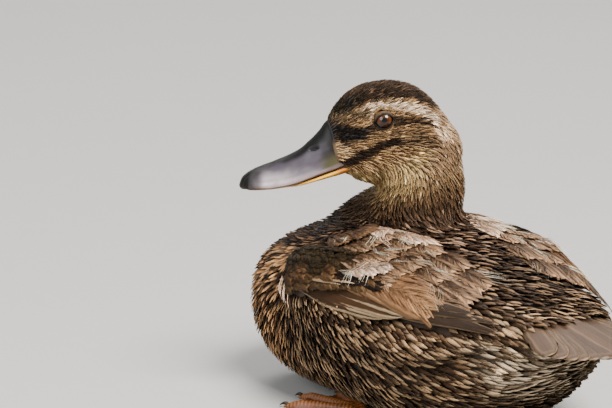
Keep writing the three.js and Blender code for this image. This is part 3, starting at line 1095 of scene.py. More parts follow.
@dataclass
class Plumage:
    """The small feathers of head, neck and body, each rooted in the skin and lying over the next."""

    hide: Hide
    markings: Markings
    lie: Lie
    seed: int = 20
    crowding: int = 9
    marches: int = 5
    lid_edge: float = 4.1
    head_cut: Cut = Cut(along=5, across=5, widest=0.35, point=0.7, thickness=0.22 * MM, camber=0.3, fray=0.1)
    neck_cut: Cut = Cut(along=5, across=3, widest=0.35, point=0.6, thickness=0.3 * MM, camber=0.2, fray=0.1)
    body_cut: Cut = Cut(along=5, across=3, widest=0.35, point=0.55, thickness=0.3 * MM, camber=0.2, fray=0.12)
    broad_share: float = 3.4
    splay: float = 14.0

    def spacing(self, points: Array) -> Array:
        """How far apart feather roots stand at places.

        Args:
            points: places in the frame.

        Returns:
            A distance in mm for each.
        """
        side, ahead, up = self.hide.stance.head.local(points).T
        y, z = self.hide.stance.body.local(points).T[1:]
        body = lerp(2.15, 3.0, ease(y, -40, 20))
        body = lerp(body, 2.2, ease(z + 0.4 * y, 26, 50) * ease(y, 24, -10))
        low_neck = ease(z - 0.2 * y, 88, 112)
        spaced = lerp(body, 1.5, low_neck)
        head = ease(0.2 * ahead + up, -52, -28) * ease(z, 96, 118)
        face = lerp(1.3, 1.08, ease(ahead, -20, 12))
        near_eye = ease(np.hypot(ahead, up), 12.0, 6.0) * ease(np.abs(side), 6.0, 12.0)
        return lerp(spaced, lerp(face, 0.7, near_eye), head)

    def winged(self, x: Array, y: Array, z: Array) -> Array:
        """Finds the places that the wings' rows of feathers cover.

        Args:
            x: how far left places are in the body's axes.
            y: how far back.
            z: how far up.

        Returns:
            True where the wings' own rows lie.
        """
        flank = np.degrees(np.arctan2(z - 50.0, np.abs(x)))
        low = lerp(9.0, 15.0, ease(y, -30, 16))
        return (y > -36) & (y < 96) & (flank > low) & (flank < lerp(34.0, 52.0, ease(y, -10, 20)))

    def candidates(self, allowed: Array, rng: Random, apart: float) -> tuple[Array, Array, Array]:
        """Many places on the form to try roots at.

        Args:
            allowed: for each face of the form, whether roots may go there.
            rng: where the places come from.
            apart: how many times the spacing they are to be apart.

        Returns:
            The places, their normals and their places on the unwrap.
        """
        hide = self.hide
        corners = hide.points[hide.faces]
        crossed = np.cross(corners[:, 2] - corners[:, 0], corners[:, 3] - corners[:, 1])
        area = 0.5 * np.linalg.norm(crossed, axis=1)
        spaced = apart * self.spacing(corners.mean(axis=1)) * MM
        wanted = self.crowding * area * allowed / spaced**2
        picks = np.repeat(np.arange(len(area)), rng.poisson(wanted))
        rng.shuffle(picks)
        a, b = rng.uniform(0.0, 1.0, (2, len(picks), 1))
        weights = [(1 - a) * (1 - b), a * (1 - b), a * b, (1 - a) * b]
        places, normals, flat = (sum(weight * values[picks, k] for k, weight in enumerate(weights))
                                 for values in (corners, hide.normals[hide.faces], hide.map))
        return places, unit(normals), flat

    def roots(self, allowed: Array, rng: Random, apart: float = 1.0) -> tuple[Array, Array, Array]:
        """Picks places for roots from the candidates.

        Args:
            allowed: for each face of the form, whether roots may go there.
            rng: where the places come from.
            apart: how many times their spacing they are apart at least.

        Returns:
            The places, their normals and their places on the unwrap.
        """
        places, normals, flat = self.candidates(allowed, rng, apart)
        spaced = apart * self.spacing(places) * MM
        cell = float(spaced.max())
        taken: dict[tuple[int, int, int], list[tuple[float, float, float]]] = {}
        chosen = []
        around = [(i, j, k) for i in (-1, 0, 1) for j in (-1, 0, 1) for k in (-1, 0, 1)]
        keys = np.floor(places / cell).astype(int).tolist()
        for n, ((x, y, z), (i, j, k), limit) in enumerate(zip(places.tolist(), keys, (spaced**2).tolist())):
            near = (p for di, dj, dk in around for p in taken.get((i + di, j + dj, k + dk), ()))
            if any((x - p[0]) ** 2 + (y - p[1]) ** 2 + (z - p[2]) ** 2 < limit for p in near):
                continue
            taken.setdefault((i, j, k), []).append((x, y, z))
            chosen.append(n)
        return places[chosen], normals[chosen], flat[chosen]

    def shafts(self, places: Array, normals: Array, length: Array, sway: Array, rings: Array
               ) -> tuple[Array, Array]:
        """Lines that run over the form from the roots along the lie.

        Args:
            places: the roots.
            normals: the form's normals there.
            length: how long each line is, in metres.
            sway: how far each line turns aside from the lie, in radians.
            rings: shares of the length to give points at.

        Returns:
            Points and outward directions at the shares, a row of them for each root.
        """
        way = self.lie.at(places, normals)
        way = way * np.cos(sway)[:, None] + np.cross(normals, way) * np.sin(sway)[:, None]

        def steer(place: Array, normal: Array, before: Array) -> Array:
            """The way on: most of the way gone before and some of the lie here."""
            return 0.7 * before + 0.3 * self.lie.at(place, normal)

        return march(self.hide, (places, normals, way), length, self.marches, rings, steer)

    def grow(self, crop: Crop, allowed: Array, finish: "PlumageFinish") -> None:
        """Grows one stretch of feathers as a piece.

        Args:
            crop: how it grows.
            allowed: for each face of the form, whether it grows there.
            finish: its finish.
        """
        rng = np.random.default_rng([self.seed, *crop.name.encode()])
        places, normals, flat = self.roots(allowed, rng)
        spaced = self.spacing(places)
        count = len(places)
        length = crop.length * spaced * rng.uniform(0.8, 1.2, count) * MM
        half = crop.width * spaced * rng.uniform(0.85, 1.15, count) * MM / 2.0
        sway = np.radians(crop.sway) * rng.normal(0.0, 1.0, count)
        rings = crop.cut.stations()
        coat = self.markings.at(places)
        coat.vary(rng, crop.contrast, 0.03, crop.flecks)
        lifted = np.zeros(count)
        if crop.broad:
            lifted, aside = self.lock_together(places, normals, allowed, coat, rng)
            sway = sway + aside
        lines, ups = self.shafts(places, normals, length, sway, rings)
        depth = -(self.hide.depth(places) + 0.3 * MM)[:, None] * (1.0 - rings) ** 1.5
        stray = (crop.jitter * rng.uniform(-1.0, 0.7, count) + lifted)[:, None] * MM * rings**1.5
        lines = lines + ups * (depth + stray)[..., None]
        plumes = Plumes(lines, ups, half, coat, patches_on(flat), rng.normal(0.0, 0.06, count))
        mesh = woven(crop.name, [(crop.cut, plumes)], rng)
        log.info("%s: %d feathers", crop.name, count)
        add_piece(crop.name, mesh, finish.material())

    def lock_together(self, places: Array, normals: Array, allowed: Array, coat: Coat, rng: Random
                      ) -> tuple[Array, Array]:
        """Makes tufts the locks of broad feathers, which overlap like tiles: dark middles, pale rims.

        Args:
            places: the tufts' roots.
            normals: the form's normals there, which are not used.
            allowed: for each face of the form, whether feathers may stand there.
            coat: the tufts' colours, which take on the broad feathers' pattern.
            rng: where the broad feathers' places come from.

        Returns:
            How far each tuft's tip is lifted, in mm, and how far it turns aside, in radians.
        """
        centres, outs, _ = self.roots(allowed, rng, self.broad_share)
        reach = self.broad_share * self.spacing(centres) * MM
        ways = self.lie.at(centres, outs)
        across = np.cross(outs, ways)
        shade = np.exp(rng.normal(0.0, 0.2, len(centres)))
        tree = KDTree(len(centres))
        for number, centre in enumerate(centres.tolist()):
            tree.insert(centre, number)
        tree.balance()
        near = np.array([[hit[1] for hit in tree.find_n(place, 7)] for place in places.tolist()])
        step = places[:, None] - centres[near]
        along = np.sum(step * ways[near], axis=2) / reach[near]
        aside = np.sum(step * across[near], axis=2) / reach[near]
        rim = np.hypot(aside / 0.64, along / 0.86)
        topmost = np.where(rim < 1.0, along, -9.0 - rim).argmax(axis=1)
        pick = np.arange(len(places))
        rim, along, aside = rim[pick, topmost], along[pick, topmost], aside[pick, topmost]
        rim = rim + rng.normal(0.0, 0.05, len(rim))
        ring = ease(rim, 0.3, 0.4) * ease(rim, 0.56, 0.46) * 0.6 * coat.marks
        pale = np.maximum(ease(rim, 1.0 - 0.9 * coat.edge, 1.0 - 0.4 * coat.edge), ring)[:, None]
        colour = lerp(coat.middle, coat.fringe, pale) * shade[near[pick, topmost], None]
        shaft = 1.0 - 0.25 * ease(np.abs(aside), 0.08, 0.02)
        coat.middle = np.clip(colour * shaft[:, None], 0.0, 1.0)
        coat.fringe = np.clip(lerp(colour, coat.fringe, 0.22), 0.0, 1.0)
        coat.marks = np.zeros(len(rim))
        return 0.9 * np.clip(along, -0.5, 0.8), np.radians(self.splay) * np.clip(-aside, -0.6, 0.6)

    def build(self, fine: "PlumageFinish", broad: "PlumageFinish") -> None:
        """Grows head, neck and body.

        Args:
            fine: the finish of head and neck.
            broad: the finish of the body's broad feathers.
        """
        middles = self.hide.points[self.hide.faces].mean(axis=1)
        normals = self.hide.face_normals
        side, ahead, up = self.hide.stance.head.local(middles).T
        x, y, z = self.hide.stance.body.local(middles).T
        open_eye = np.hypot(ahead / 1.06, up) > self.lid_edge
        head = (0.2 * ahead + up > -30.5) & (z > 104) & (np.abs(side) < 24)
        head_ok = head & (open_eye | (np.abs(side) < 9)) & (ahead < FACE_BORDER(up) + 0.9)
        neck = ~head & (-0.22 * (y + 10) + z > 98)
        body = ~head & ~neck & (y < lerp(160.0, 134.0, ease(normals[:, 2], -0.2, 0.3)))
        under = (z < 2.2) & (normals[:, 2] < -0.6)
        for name, where in (("left", side >= 0), ("right", side < 0)):
            crop = Crop(f"head_feathers_{name}", self.head_cut, 3.9, 1.2, 0.35, 9.0, 0.5, 0.16)
            self.grow(crop, head_ok & where, fine)
        crop = Crop("neck_feathers", self.neck_cut, 4.0, 1.35, 0.5, 11.0, 0.35, 0.1)
        self.grow(crop, neck, fine)
        open_body = body & ~under & ~self.winged(x, y, z)
        for name, where, length, width, flecks in (
                ("breast_feathers", y < -30, 3.1, 1.5, 0.05),
                ("back_feathers", (y >= -30) & (z > 62), 4.2, 1.3, 0.01),
                ("flank_feathers", (y >= -30) & (z <= 62), 4.2, 1.3, 0.02)):
            crop = Crop(name, self.body_cut, length, width, 0.35, 6.0, 0.14, flecks, True)
            self.grow(crop, open_body & where, broad)


def march(hide: Hide, start: tuple[Array, Array, Array], length: Array, steps: int, rings: Array,
          steer: Callable[[Array, Array, Array], Array] | None = None) -> tuple[Array, Array]:
    """Lines that walk over the form.

    Args:
        hide: the form.
        start: places on the form, the normals there and the ways the lines set out.
        length: how long each line is, in metres.
        steps: in how many steps it is walked.
        rings: shares of the length to give points at.
        steer: gives the way on from a place, its normal and the way gone before, which holds without it.

    Returns:
        Points and outward directions at the shares, a row of them for each line.
    """
    place, normal, way = start
    spots, outs = [place], [normal]
    step = (length / steps)[:, None]
    for _ in range(steps):
        place, normal, _ = hide.nearest(spots[-1] + way * step)
        way = along_surface(steer(place, normal, way) if steer else way, normal)
        spots.append(place)
        outs.append(normal)
    return resampled(np.stack(spots, axis=1), rings), unit(resampled(np.stack(outs, axis=1), rings))


def resampled(values: Array, shares: Array) -> Array:
    """Values along lines at other places than they were given at.

    Args:
        values: for each line, values at even steps along it.
        shares: shares of the lines' length.

    Returns:
        For each line, the values at the shares.
    """
    last = values.shape[1] - 1
    place = np.clip(shares * last, 0, last - 1e-9)
    i = place.astype(int)
    t = (place - i)[None, :, None]
    return values[:, i] * (1.0 - t) + values[:, i + 1] * t


# ---- wings and tail


@dataclass(frozen=True)
class Row:
    """One row of large feathers on the left side, in mm and degrees of the body's axes.

    Attributes:
        name: what the row is.
        count: how many feathers.
        back: how far back the first and the last root stand.
        flank: how far round the flank they stand, 0 level at the left and 90 on top.
        lean: how far below straight back the first and the last feather point.
        length: of the first and the last.
        width: full width.
        lift: height over the form at root and tip.
        tone: its colours.
        edge: fringe width.
        roll: how far the lower edge is lifted, in half widths.
        tousle: how unevenly they lie.
        cut: the feathers' shape.
    """

    name: str
    count: int
    back: tuple[float, float]
    flank: tuple[float, float]
    lean: tuple[float, float]
    length: tuple[float, float]
    width: float
    lift: tuple[float, float]
    tone: Tone
    edge: float
    roll: float
    tousle: float
    cut: Cut


QUILL = Cut(along=15, across=7, widest=0.78, point=0.2, thickness=0.5 * MM, camber=0.1, fray=0.05)
POINTED_QUILL = Cut(along=15, across=7, widest=0.55, point=0.75, thickness=0.5 * MM, camber=0.12, fray=0.05)
QUILL_FINE = Cut(along=9, across=5, widest=0.5, point=0.8, thickness=0.3 * MM, camber=0.05, fray=0.15)
COVERT = Cut(along=9, across=5, widest=0.62, point=0.1, thickness=0.3 * MM, camber=0.08, fray=0.1)
SMALL_COVERT = Cut(along=6, across=5, widest=0.6, point=0.05, thickness=0.22 * MM, camber=0.06, fray=0.08)
LOCK = Cut(along=5, across=3, widest=0.4, point=0.6, thickness=0.2 * MM, camber=0.1, fray=0.1)
BARB = Cut(along=5, across=3, widest=0.2, point=1.0, thickness=0.2 * MM, camber=0.0, fray=0.0)


@dataclass
class Side:
    """Lays rows of large feathers on the left side of the form and mirrors them to the right."""

    hide: Hide
    seed: int = 300
    axis_height: float = 50.0

    def rooted(self, back: Array, flank: Array) -> tuple[Array, Array, Array]:
        """Finds the roots of a row.

        Args:
            back: how far back the places are, in mm.
            flank: how far round the flank, in degrees.

        Returns:
            Places on the form, their normals and their places on the skin's unwrap.
        """
        body = self.hide.stance.body
        angle = np.radians(flank)
        ways = np.column_stack([np.cos(angle), np.zeros_like(angle), np.sin(angle)])
        axis = np.column_stack([np.zeros_like(back), back, np.full_like(back, self.axis_height)])
        places, faces = self.hide.cast(body.world(axis), ways)
        return places, self.hide.face_normals[faces], self.hide.map[faces].mean(axis=1)

    def lines(self, row: Row, rng: Random) -> Plumes:
        """Lays one row.

        Args:
            row: the row.
            rng: where its unevenness comes from.

        Returns:
            Its feathers on the left side.
        """
        t = (np.arange(row.count) + 0.5) / row.count
        ragged = np.clip(rng.normal(0.0, 1.0, (3, row.count)), -1.8, 1.8)
        back = lerp(row.back[0], row.back[1], t) + row.tousle * ragged[0]
        places, normals, flat = self.rooted(back, lerp(row.flank[0], row.flank[1], t))
        lean = np.radians(lerp(row.lean[0], row.lean[1], t) + row.tousle * ragged[1])
        level = unit(np.array([0.0, 1.0, 0.0]) - normals * normals[:, 1:2])
        down = np.cross(level, normals)
        way = level * np.cos(lean)[:, None] + down * np.sin(lean)[:, None]
        length = lerp(row.length[0], row.length[1], t) * (1.0 + 0.04 * ragged[2]) * MM
        rings = row.cut.stations()
        steps = max(4, int(length.max() / (6.0 * MM)))
        lines, ups = march(self.hide, (places, normals, way), length, steps, rings)
        lift = lerp(row.lift[0], row.lift[1], ease(rings, 0.0, 0.8)) * MM
        uneven = 0.2 * MM * row.tousle * ragged[0][:, None] * rings
        lines = lines + ups * (lift + uneven)[..., None]
        coat = Coat(row.count, row.tone, row.edge, 0.0)
        coat.vary(rng, 0.08 * row.tousle, 0.02)
        half = row.width / 2.0 * (1.0 + 0.05 * ragged[1]) * MM
        return Plumes(lines, ups, half, coat, patches_on(flat), row.roll + 0.03 * ragged[2])

    def mirrored(self, plumes: Plumes) -> Plumes:
        """Mirrors feathers.

        Args:
            plumes: feathers on the left side.

        Returns:
            The same feathers on the right side.
        """
        body, flip = self.hide.stance.body, np.array([-1.0, 1.0, 1.0])
        lines = body.world(body.local(plumes.lines.reshape(-1, 3)) * flip).reshape(plumes.lines.shape)
        _, _, faces = self.hide.nearest(lines[:, 0])
        patch = patches_on(self.hide.map[faces].mean(axis=1))
        return Plumes(lines, plumes.ups * flip, plumes.half, plumes.coat, patch, -plumes.roll)

    def rows(self, name: str, rows: Sequence[Row]) -> Batches:
        """Lays several rows.

        Args:
            name: what the rows are together.
            rows: the rows, lowest first.

        Returns:
            Their feathers on the left side, each row with its cut.
        """
        rng = np.random.default_rng([self.seed, *name.encode()])
        log.info("%s: %s", name, ", ".join(row.name for row in rows))
        return [(row.cut, self.lines(row, rng)) for row in rows]

    def lay(self, name: str, left: Batches, finish: "PlumageFinish", slot: str, own_cells: bool) -> None:
        """Makes the feathers of the left side and their mirror images as a piece each.

        Args:
            name: the pieces' name, before the side's.
            left: batches of feathers, lowest first.
            finish: their finish.
            slot: their material slot, which is not used.
            own_cells: whether each feather gets a bake cell of its own, as large quills need.
        """
        right = [(cut, self.mirrored(plumes)) for cut, plumes in left]
        for side, batches in (("left", left), ("right", right)):
            if own_cells:
                give_cells(batches)
            mesh = woven(f"{name}_{side}", batches, np.random.default_rng(self.seed))
            add_piece(f"{name}_{side}", mesh, finish.material())


def give_cells(batches: Batches, margin: float = 0.12) -> None:
    """Gives each feather its own cell of the bake map, in a square grid.

    Args:
        batches: feathers with their cuts.
        margin: the free share of a cell at each of its edges.
    """
    total = sum(len(plumes.half) for _, plumes in batches)
    columns = math.ceil(math.sqrt(total))
    cell, start = 1.0 / columns, 0
    for _, plumes in batches:
        number = start + np.arange(len(plumes.half))
        corner = np.column_stack([number % columns, number // columns]) * cell + cell * margin
        plumes.patch = np.hstack([corner, np.full_like(corner, cell * (1.0 - 2.0 * margin))])
        start += len(plumes.half)


@dataclass
class Wings:
    """The folded wings: quills below, coverts over them and scapulars over all, with loose frayed barbs."""

    hide: Hide
    quills: tuple[Row, ...] = (
        Row("primaries", 7, (50, 28), (24, 17), (-10, -6), (60, 108), 8, (-3.4, 1.2),
            Tone.PRIMARY, 0.2, 0.12, 1.0, POINTED_QUILL),
        Row("secondaries", 11, (-14, 34), (13, 28), (-1, -3), (80, 62), 9.5, (-2.4, 0.1),
            Tone.FLIGHT, 0.24, 0.26, 1.0, QUILL),
        Row("tertials", 5, (6, 26), (26, 39), (-1, 3), (78, 66), 16, (-1.8, 0.5),
            Tone.TERTIAL, 0.24, 0.08, 1.0, QUILL),
    )
    coverts: tuple[Row, ...] = (
        Row("greater coverts", 12, (-42, 22), (14, 27), (3, 4), (22, 24), 11, (-2.2, 0.3),
            Tone.GREAT_COVERT, 0.2, 0.08, 2.4, COVERT),
        Row("median coverts", 13, (-41, 24), (20, 31), (9, 6), (20, 22), 10, (-1.9, 0.4),
            Tone.COVERT, 0.24, 0.05, 3.0, COVERT),
        Row("cream edges", 6, (-12, 26), (19, 27), (-6, -8), (34, 36), 2.4, (-0.4, 1.1),
            Tone.CREAM, 0.3, 0.3, 1.2, QUILL_FINE),
        # the lesser coverts' olive tone is partly painted shade
        Row("low lesser coverts", 13, (-41, 18), (23, 31), (12, 8), (18, 18), 9, (-1.8, 0.4),
            Tone.OLIVE, 0.1, 0.0, 1.6, SMALL_COVERT),
        Row("mid lesser coverts", 13, (-43, 12), (27, 35), (12, 8), (18, 18), 9, (-1.8, 0.4),
            Tone.OLIVE, 0.1, 0.0, 1.6, SMALL_COVERT),
        Row("top lesser coverts", 12, (-45, 6), (31, 40), (14, 8), (17, 17), 9, (-1.8, 0.4),
            Tone.OLIVE, 0.1, 0.0, 1.6, SMALL_COVERT),
        Row("bend feathers", 11, (-37, -27), (16, 11), (64, 44), (8, 11), 1.1, (-0.2, 1.7),
            Tone.PALE_SCAPULAR, 0.4, 0.0, 3.0, QUILL_FINE),
    )
    scapulars: tuple[Row, ...] = (
        Row("last scapulars", 7, (60, 52), (35, 62), (1, -4), (46, 44), 14, (-2.2, 0.0),
            Tone.SCAPULAR, 0.2, 0.1, 2.4, COVERT),
        Row("long scapulars", 8, (40, 36), (33, 66), (4, -3), (42, 38), 13, (-2.0, 0.3),
            Tone.SCAPULAR, 0.2, 0.1, 3.0, COVERT),
        Row("mid scapulars", 10, (22, 22), (32, 66), (6, 0), (33, 32), 12, (-1.8, 0.5),
            Tone.SCAPULAR, 0.2, 0.1, 3.0, COVERT),
        Row("front scapulars", 10, (6, 12), (34, 63), (8, 2), (27, 28), 11, (-1.6, 0.8),
            Tone.SCAPULAR, 0.2, 0.1, 3.0, COVERT),
        Row("shaded feathers", 8, (4, 32), (25, 28), (4, 0), (18, 20), 8, (-1.2, 0.9),
            Tone.SHADED, 0.1, 0.0, 1.0, COVERT),
        Row("pale scapulars", 6, (13, 30), (32, 39), (12, 4), (20, 22), 8, (-1.2, 1.4),
            Tone.PALE_SCAPULAR, 0.4, 0.1, 3.0, COVERT),
        Row("first scapulars", 9, (-7, 3), (38, 61), (10, 4), (22, 22), 10, (-1.5, 0.9),
            Tone.SCAPULAR, 0.2, 0.1, 2.6, COVERT),
        Row("shoulder feathers", 9, (-24, -10), (40, 59), (12, 6), (20, 21), 9, (-1.5, 1.0),
            Tone.SHOULDER, 0.2, 0.1, 2.6, COVERT),
        Row("top scapulars", 8, (-8, 26), (59, 67), (9, 2), (24, 28), 9, (-1.4, 1.1),
            Tone.TOP_SCAPULAR, 0.4, 0.1, 2.4, COVERT),
        Row("white strands", 16, (0, 15), (62, 50), (40, 10), (17, 13), 0.5, (0.4, 1.8),
            Tone.PALE_SCAPULAR, 0.6, 0.0, 5.0, QUILL_FINE),
    )
    loose: int = 30
    locks: int = 30

    def build(self, quill: "PlumageFinish", covert: "PlumageFinish", downy: "PlumageFinish") -> None:
        """Makes both wings.

        Args:
            quill: the finish of flight feathers.
            covert: the finish of coverts and scapulars.
            downy: the finish of loose barbs.
        """
        side = Side(self.hide)
        flight = side.rows("flight", self.quills)
        tertials = replace(flight[-1][1])  # a copy, as lay gives the flight feathers patches of another kind
        side.lay("flight_feathers", flight, quill, "flight_feather", True)
        rng = np.random.default_rng(side.seed)
        for name, rows, clumps in (("coverts", self.coverts, 0), ("scapulars", self.scapulars, self.loose)):
            laid = side.rows(name, rows)
            side.lay(f"wing_{name}", laid, covert, "brown_feather", False)
            whole = [(cut, plumes) for cut, plumes in laid if cut is not QUILL_FINE]
            if name == "coverts":
                whole.append((QUILL, tertials))
            barbs = [(LOCK, parted(cut, plumes, self.locks, rng)) for cut, plumes in whole]
            if clumps:
                barbs += [(BARB, frayed(cut, plumes, clumps // len(whole), rng)) for cut, plumes in whole]
            side.lay(f"barbs_of_{name}", barbs, downy, "brown_feather", False)


def along_vanes(cut: Cut, plumes: Plumes, pick: Array, share: Array, aside: Array
                ) -> tuple[Array, Array, Array]:
    """Lines over the upper faces of feathers.

    Args:
        cut: the feathers' shape.
        plumes: the feathers.
        pick: which feather each line runs over.
        share: shares of that feather's length, a row for each line; past 1 it runs on beyond the tip.
        aside: how far to the side the line runs, as shares of the half width.

    Returns:
        The lines' points, the outward directions there and the feather's own direction.
    """
    on = np.clip(share, 0.0, 0.999)
    place = (1.0 - (1.0 - on) ** (1.0 / GATHER)) * (cut.along - 1)
    ring = place.astype(int)
    t = (place - ring)[..., None]
    pick = pick[:, None]
    spots, ups = (lerp(of[pick, ring], of[pick, ring + 1], t) for of in (plumes.lines, plumes.ups))
    tangents = unit(np.gradient(plumes.lines, axis=1))[pick, ring]
    span = np.linalg.norm(plumes.lines[:, -1] - plumes.lines[:, 0], axis=1)[pick[:, 0]]
    reach = plumes.half[pick] * cut.outline(np.minimum(share, 0.92)) * aside
    height = cut.thickness * (1.0 - np.clip(aside, -1.0, 1.0) ** 2) - cut.camber * np.abs(reach * aside)
    beyond = (share - on) * span[:, None]
    sides = unit(np.cross(tangents, ups))
    places = spots + tangents * beyond[..., None] + sides * reach[..., None] + ups * height[..., None]
    return places, ups, tangents


def parted(cut: Cut, plumes: Plumes, locks: int, rng: Random) -> Plumes:
    """Locks of barbs that leave the shafts of feathers and run out over their vanes to the edges.

    Args:
        cut: the feathers' shape.
        plumes: the feathers.
        locks: how many locks each feather has.
        rng: where their unevenness comes from.

    Returns:
        The locks.
    """
    count = len(plumes.half) * locks
    pick = np.repeat(np.arange(len(plumes.half)), locks)
    number = np.tile(np.arange(locks), len(plumes.half))
    run = LOCK.stations()[None]
    start = 0.22 + 0.7 * (number + rng.uniform(0.0, 1.0, count)) / locks
    end = np.minimum(start + rng.uniform(0.2, 0.34, count), 1.05)
    share = lerp(start[:, None], end[:, None], run)
    out = np.where(number % 2 == 0, 1.0, -1.0) * rng.uniform(0.7, 1.08, count)
    lines, ups, _ = along_vanes(cut, plumes, pick, share, out[:, None] * (0.06 + 0.94 * run**0.8))
    height = 0.12 + 0.25 * run * (1.2 - run) + rng.normal(0.0, 0.06, (count, 1)) * run
    lines = lines + ups * (height * MM)[..., None]
    coat = Coat(count, Tone.FRAY, 0.34, 0.0)
    pale = (0.5 * ease(start, 0.5, 0.9) + 0.3 * rng.uniform(0.0, 1.0, count) ** 2)[:, None]
    coat.middle = lerp(plumes.coat.middle[pick], plumes.coat.fringe[pick], pale)
    coat.fringe = lerp(plumes.coat.middle[pick], plumes.coat.fringe[pick], 0.35 + 0.8 * pale)
    coat.vary(rng, 0.2, 0.02)
    half = 0.12 * plumes.half[pick] * rng.uniform(0.8, 1.2, count)
    return Plumes(lines, ups, half, coat, plumes.patch[pick], rng.normal(0.0, 0.06, count))


def frayed(cut: Cut, plumes: Plumes, clumps: int, rng: Random, size: int = 7) -> Plumes:
    """Clumps of loose pale barbs that stand a little out of the edges of feathers.

    Args:
        cut: the feathers' shape.
        plumes: the feathers.
        clumps: how many clumps.
        rng: where their places come from.
        size: how many barbs a clump has.

    Returns:
        The barbs.
    """
    count = clumps * size

    def shared(values: Array, stray: float) -> Array:
        """One value for each clump, a little different for each of its barbs."""
        return (np.repeat(values, size) + stray * rng.normal(0.0, 1.0, count))[:, None]

    pick = np.repeat(rng.integers(0, len(plumes.half), clumps), size)
    begin = shared(rng.uniform(0.35, 0.8, clumps), 0.1)
    out = np.repeat(rng.choice([-1.0, 1.0], clumps), size)[:, None]
    run = BARB.stations()[None]
    share = np.broadcast_to(begin, (count, BARB.along))
    spots, ups, tangent = along_vanes(cut, plumes, pick, share, 0.6 * out)
    sides = unit(np.cross(tangent, ups)) * out[..., None]
    length = shared(rng.uniform(6.0, 13.0, clumps), 1.2) * MM
    splay = shared(rng.uniform(0.15, 0.6, clumps), 0.08)
    bend = shared(rng.normal(0.0, 0.25, clumps), 0.05)
    height = (0.35 + rng.uniform(0.2, 1.0, (count, 1)) * run - 0.9 * run**2) * MM
    ahead = length * run * np.cos(splay)
    aside = length * (run * np.sin(splay) + bend * run**2)
    lines = spots + tangent * ahead[..., None] + sides * aside[..., None] + ups * height[..., None]
    coat = Coat(count, Tone.FRAY, 0.5, 0.0)
    coat.vary(rng, 0.3, 0.02)
    half = rng.uniform(0.07, 0.13, count) * MM
    return Plumes(lines, ups, half, coat, plumes.patch[pick], np.zeros(count))


@dataclass
class Tail:
    """The closed fan of tail feathers, the middle pair on top."""

    hide: Hide
    pairs: int = 8
    root: float = 116.0
    tip: float = 191.5
    spread: float = 19.0
    step_out: float = 1.9
    width: float = 15.0
    seed: int = 61

    def build(self, finish: "PlumageFinish") -> None:
        """Makes the fan.

        Args:
            finish: its finish.
        """
        rng = np.random.default_rng(self.seed)
        body = self.hide.stance.body
        number = np.repeat(np.arange(self.pairs), 2)
        side = np.tile([1.0, -1.0], self.pairs)
        fan = np.radians(self.spread * number / (self.pairs - 1.0)) * side
        across = side * (1.2 + self.step_out * number)
        above = np.column_stack([across, np.full(len(side), self.root), np.full(len(side), 130.0)])
        places, _ = self.hide.cast(body.world(above), np.tile([0.0, 0.0, -1.0], (len(side), 1)))
        way = np.column_stack([np.sin(fan), np.cos(fan), np.full(len(side), -0.12)])
        length = (self.tip - self.root) * (1.0 - 0.02 * number - 0.012 * np.maximum(number - 4, 0) ** 2) * MM
        rings = QUILL.stations()
        lines = places[:, None] + way[:, None] * (length[:, None] * rings[None])[..., None]
        ups = np.tile([0.0, 0.12, 1.0], (len(side), len(rings), 1))
        ups[..., 0] = (side * 0.05 * number)[:, None]
        top = self.level(lines.reshape(-1, 3)).reshape(len(side), -1)
        lines[..., 2] = top + (0.2 - 0.42 * number[:, None] - 2.5 * (1.0 - rings[None]) ** 2) * MM
        coat = Coat(len(side), Tone.TAIL, 0.14, 0.18)
        coat.vary(rng, 0.1, 0.02)
        half = self.width / 2.0 * (1.0 - 0.02 * number) * MM
        cells = np.zeros((len(side), 4))
        batches = [(QUILL, Plumes(lines, unit(ups), half, coat, cells, np.zeros(len(side))))]
        give_cells(batches)
        add_piece("tail_feathers", woven("tail_feathers", batches, rng), finish.material())

    def level(self, points: Array) -> Array:
        """Height of the form's upper face over or under the points, drawn on evenly past its end."""
        y = self.hide.stance.body.local(points)[:, 1]
        return through((100, 79), (135, 74.6), (165, 69.6), (193, 65.4))(y) * MM


# ---- bill, eyes and lids


def lattice(rows: int, ring: int, start: int = 0, looped: bool = False) -> tuple[Array, Array]:
    """The faces of a tube whose points run ring by ring.

    Args:
        rows: how many rings.
        ring: points in each.
        start: index of the first point.
        looped: whether the last ring joins the first.

    Returns:
        The four-sided faces, and the end faces as one row each, none for a looped tube.
    """
    index = start + np.arange(rows * ring).reshape(rows, ring)
    if looped:
        index = np.vstack([index, index[:1]])
    right = np.roll(index, -1, axis=1)
    quads = np.stack([index[:-1], right[:-1], right[1:], index[1:]], axis=-1).reshape(-1, 4)
    caps = np.zeros((0, ring), int) if looped else np.stack([index[0, ::-1], index[-1]])
    return quads, caps


def closed_mesh(name: str, points: Array, quads: Array, caps: Array) -> Mesh:
    """A mesh of a closed surface, with its faces turned round where they would face inwards.

    Args:
        name: the mesh's name.
        points: its points.
        quads: its four-sided faces.
        caps: its end faces, if it has any.

    Returns:
        The mesh.
    """
    fan = points[quads] - points.mean(axis=0)
    volume = np.sum(fan[:, 0] * np.cross(fan[:, 1] - fan[:, 3], fan[:, 2] - fan[:, 0]))
    if volume < 0:
        quads, caps = quads[:, ::-1], caps[:, ::-1]
    return mesh_from(name, points, quads, caps)


def add_painted(name: str, points: Array, faces: tuple[Array, Array], colours: Array,
                finish: "PaintedFinish", slot: str, *nodes: str) -> None:
    """Puts a closed piece with a colour at each point in the scene.

    Args:
        name: the piece's name.
        points: its points in the frame.
        faces: its four-sided faces and its end faces.
        colours: a colour for each point.
        finish: its finish.
        slot: its material slot, which is not used.
        nodes: the solids that it takes the place of.
    """
    mesh = closed_mesh(name, above_floor(points), *faces)
    paint(mesh, "Paint", np.clip(colours.reshape(-1, 3), 0.0, 1.0))
    piece = add_piece(name, mesh, finish.material())
    if nodes:
        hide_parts(*nodes)


def power(values: Array, exponent: float) -> Array:
    """The values raised to a power with their signs kept."""
    return np.sign(values) * np.abs(values) ** exponent


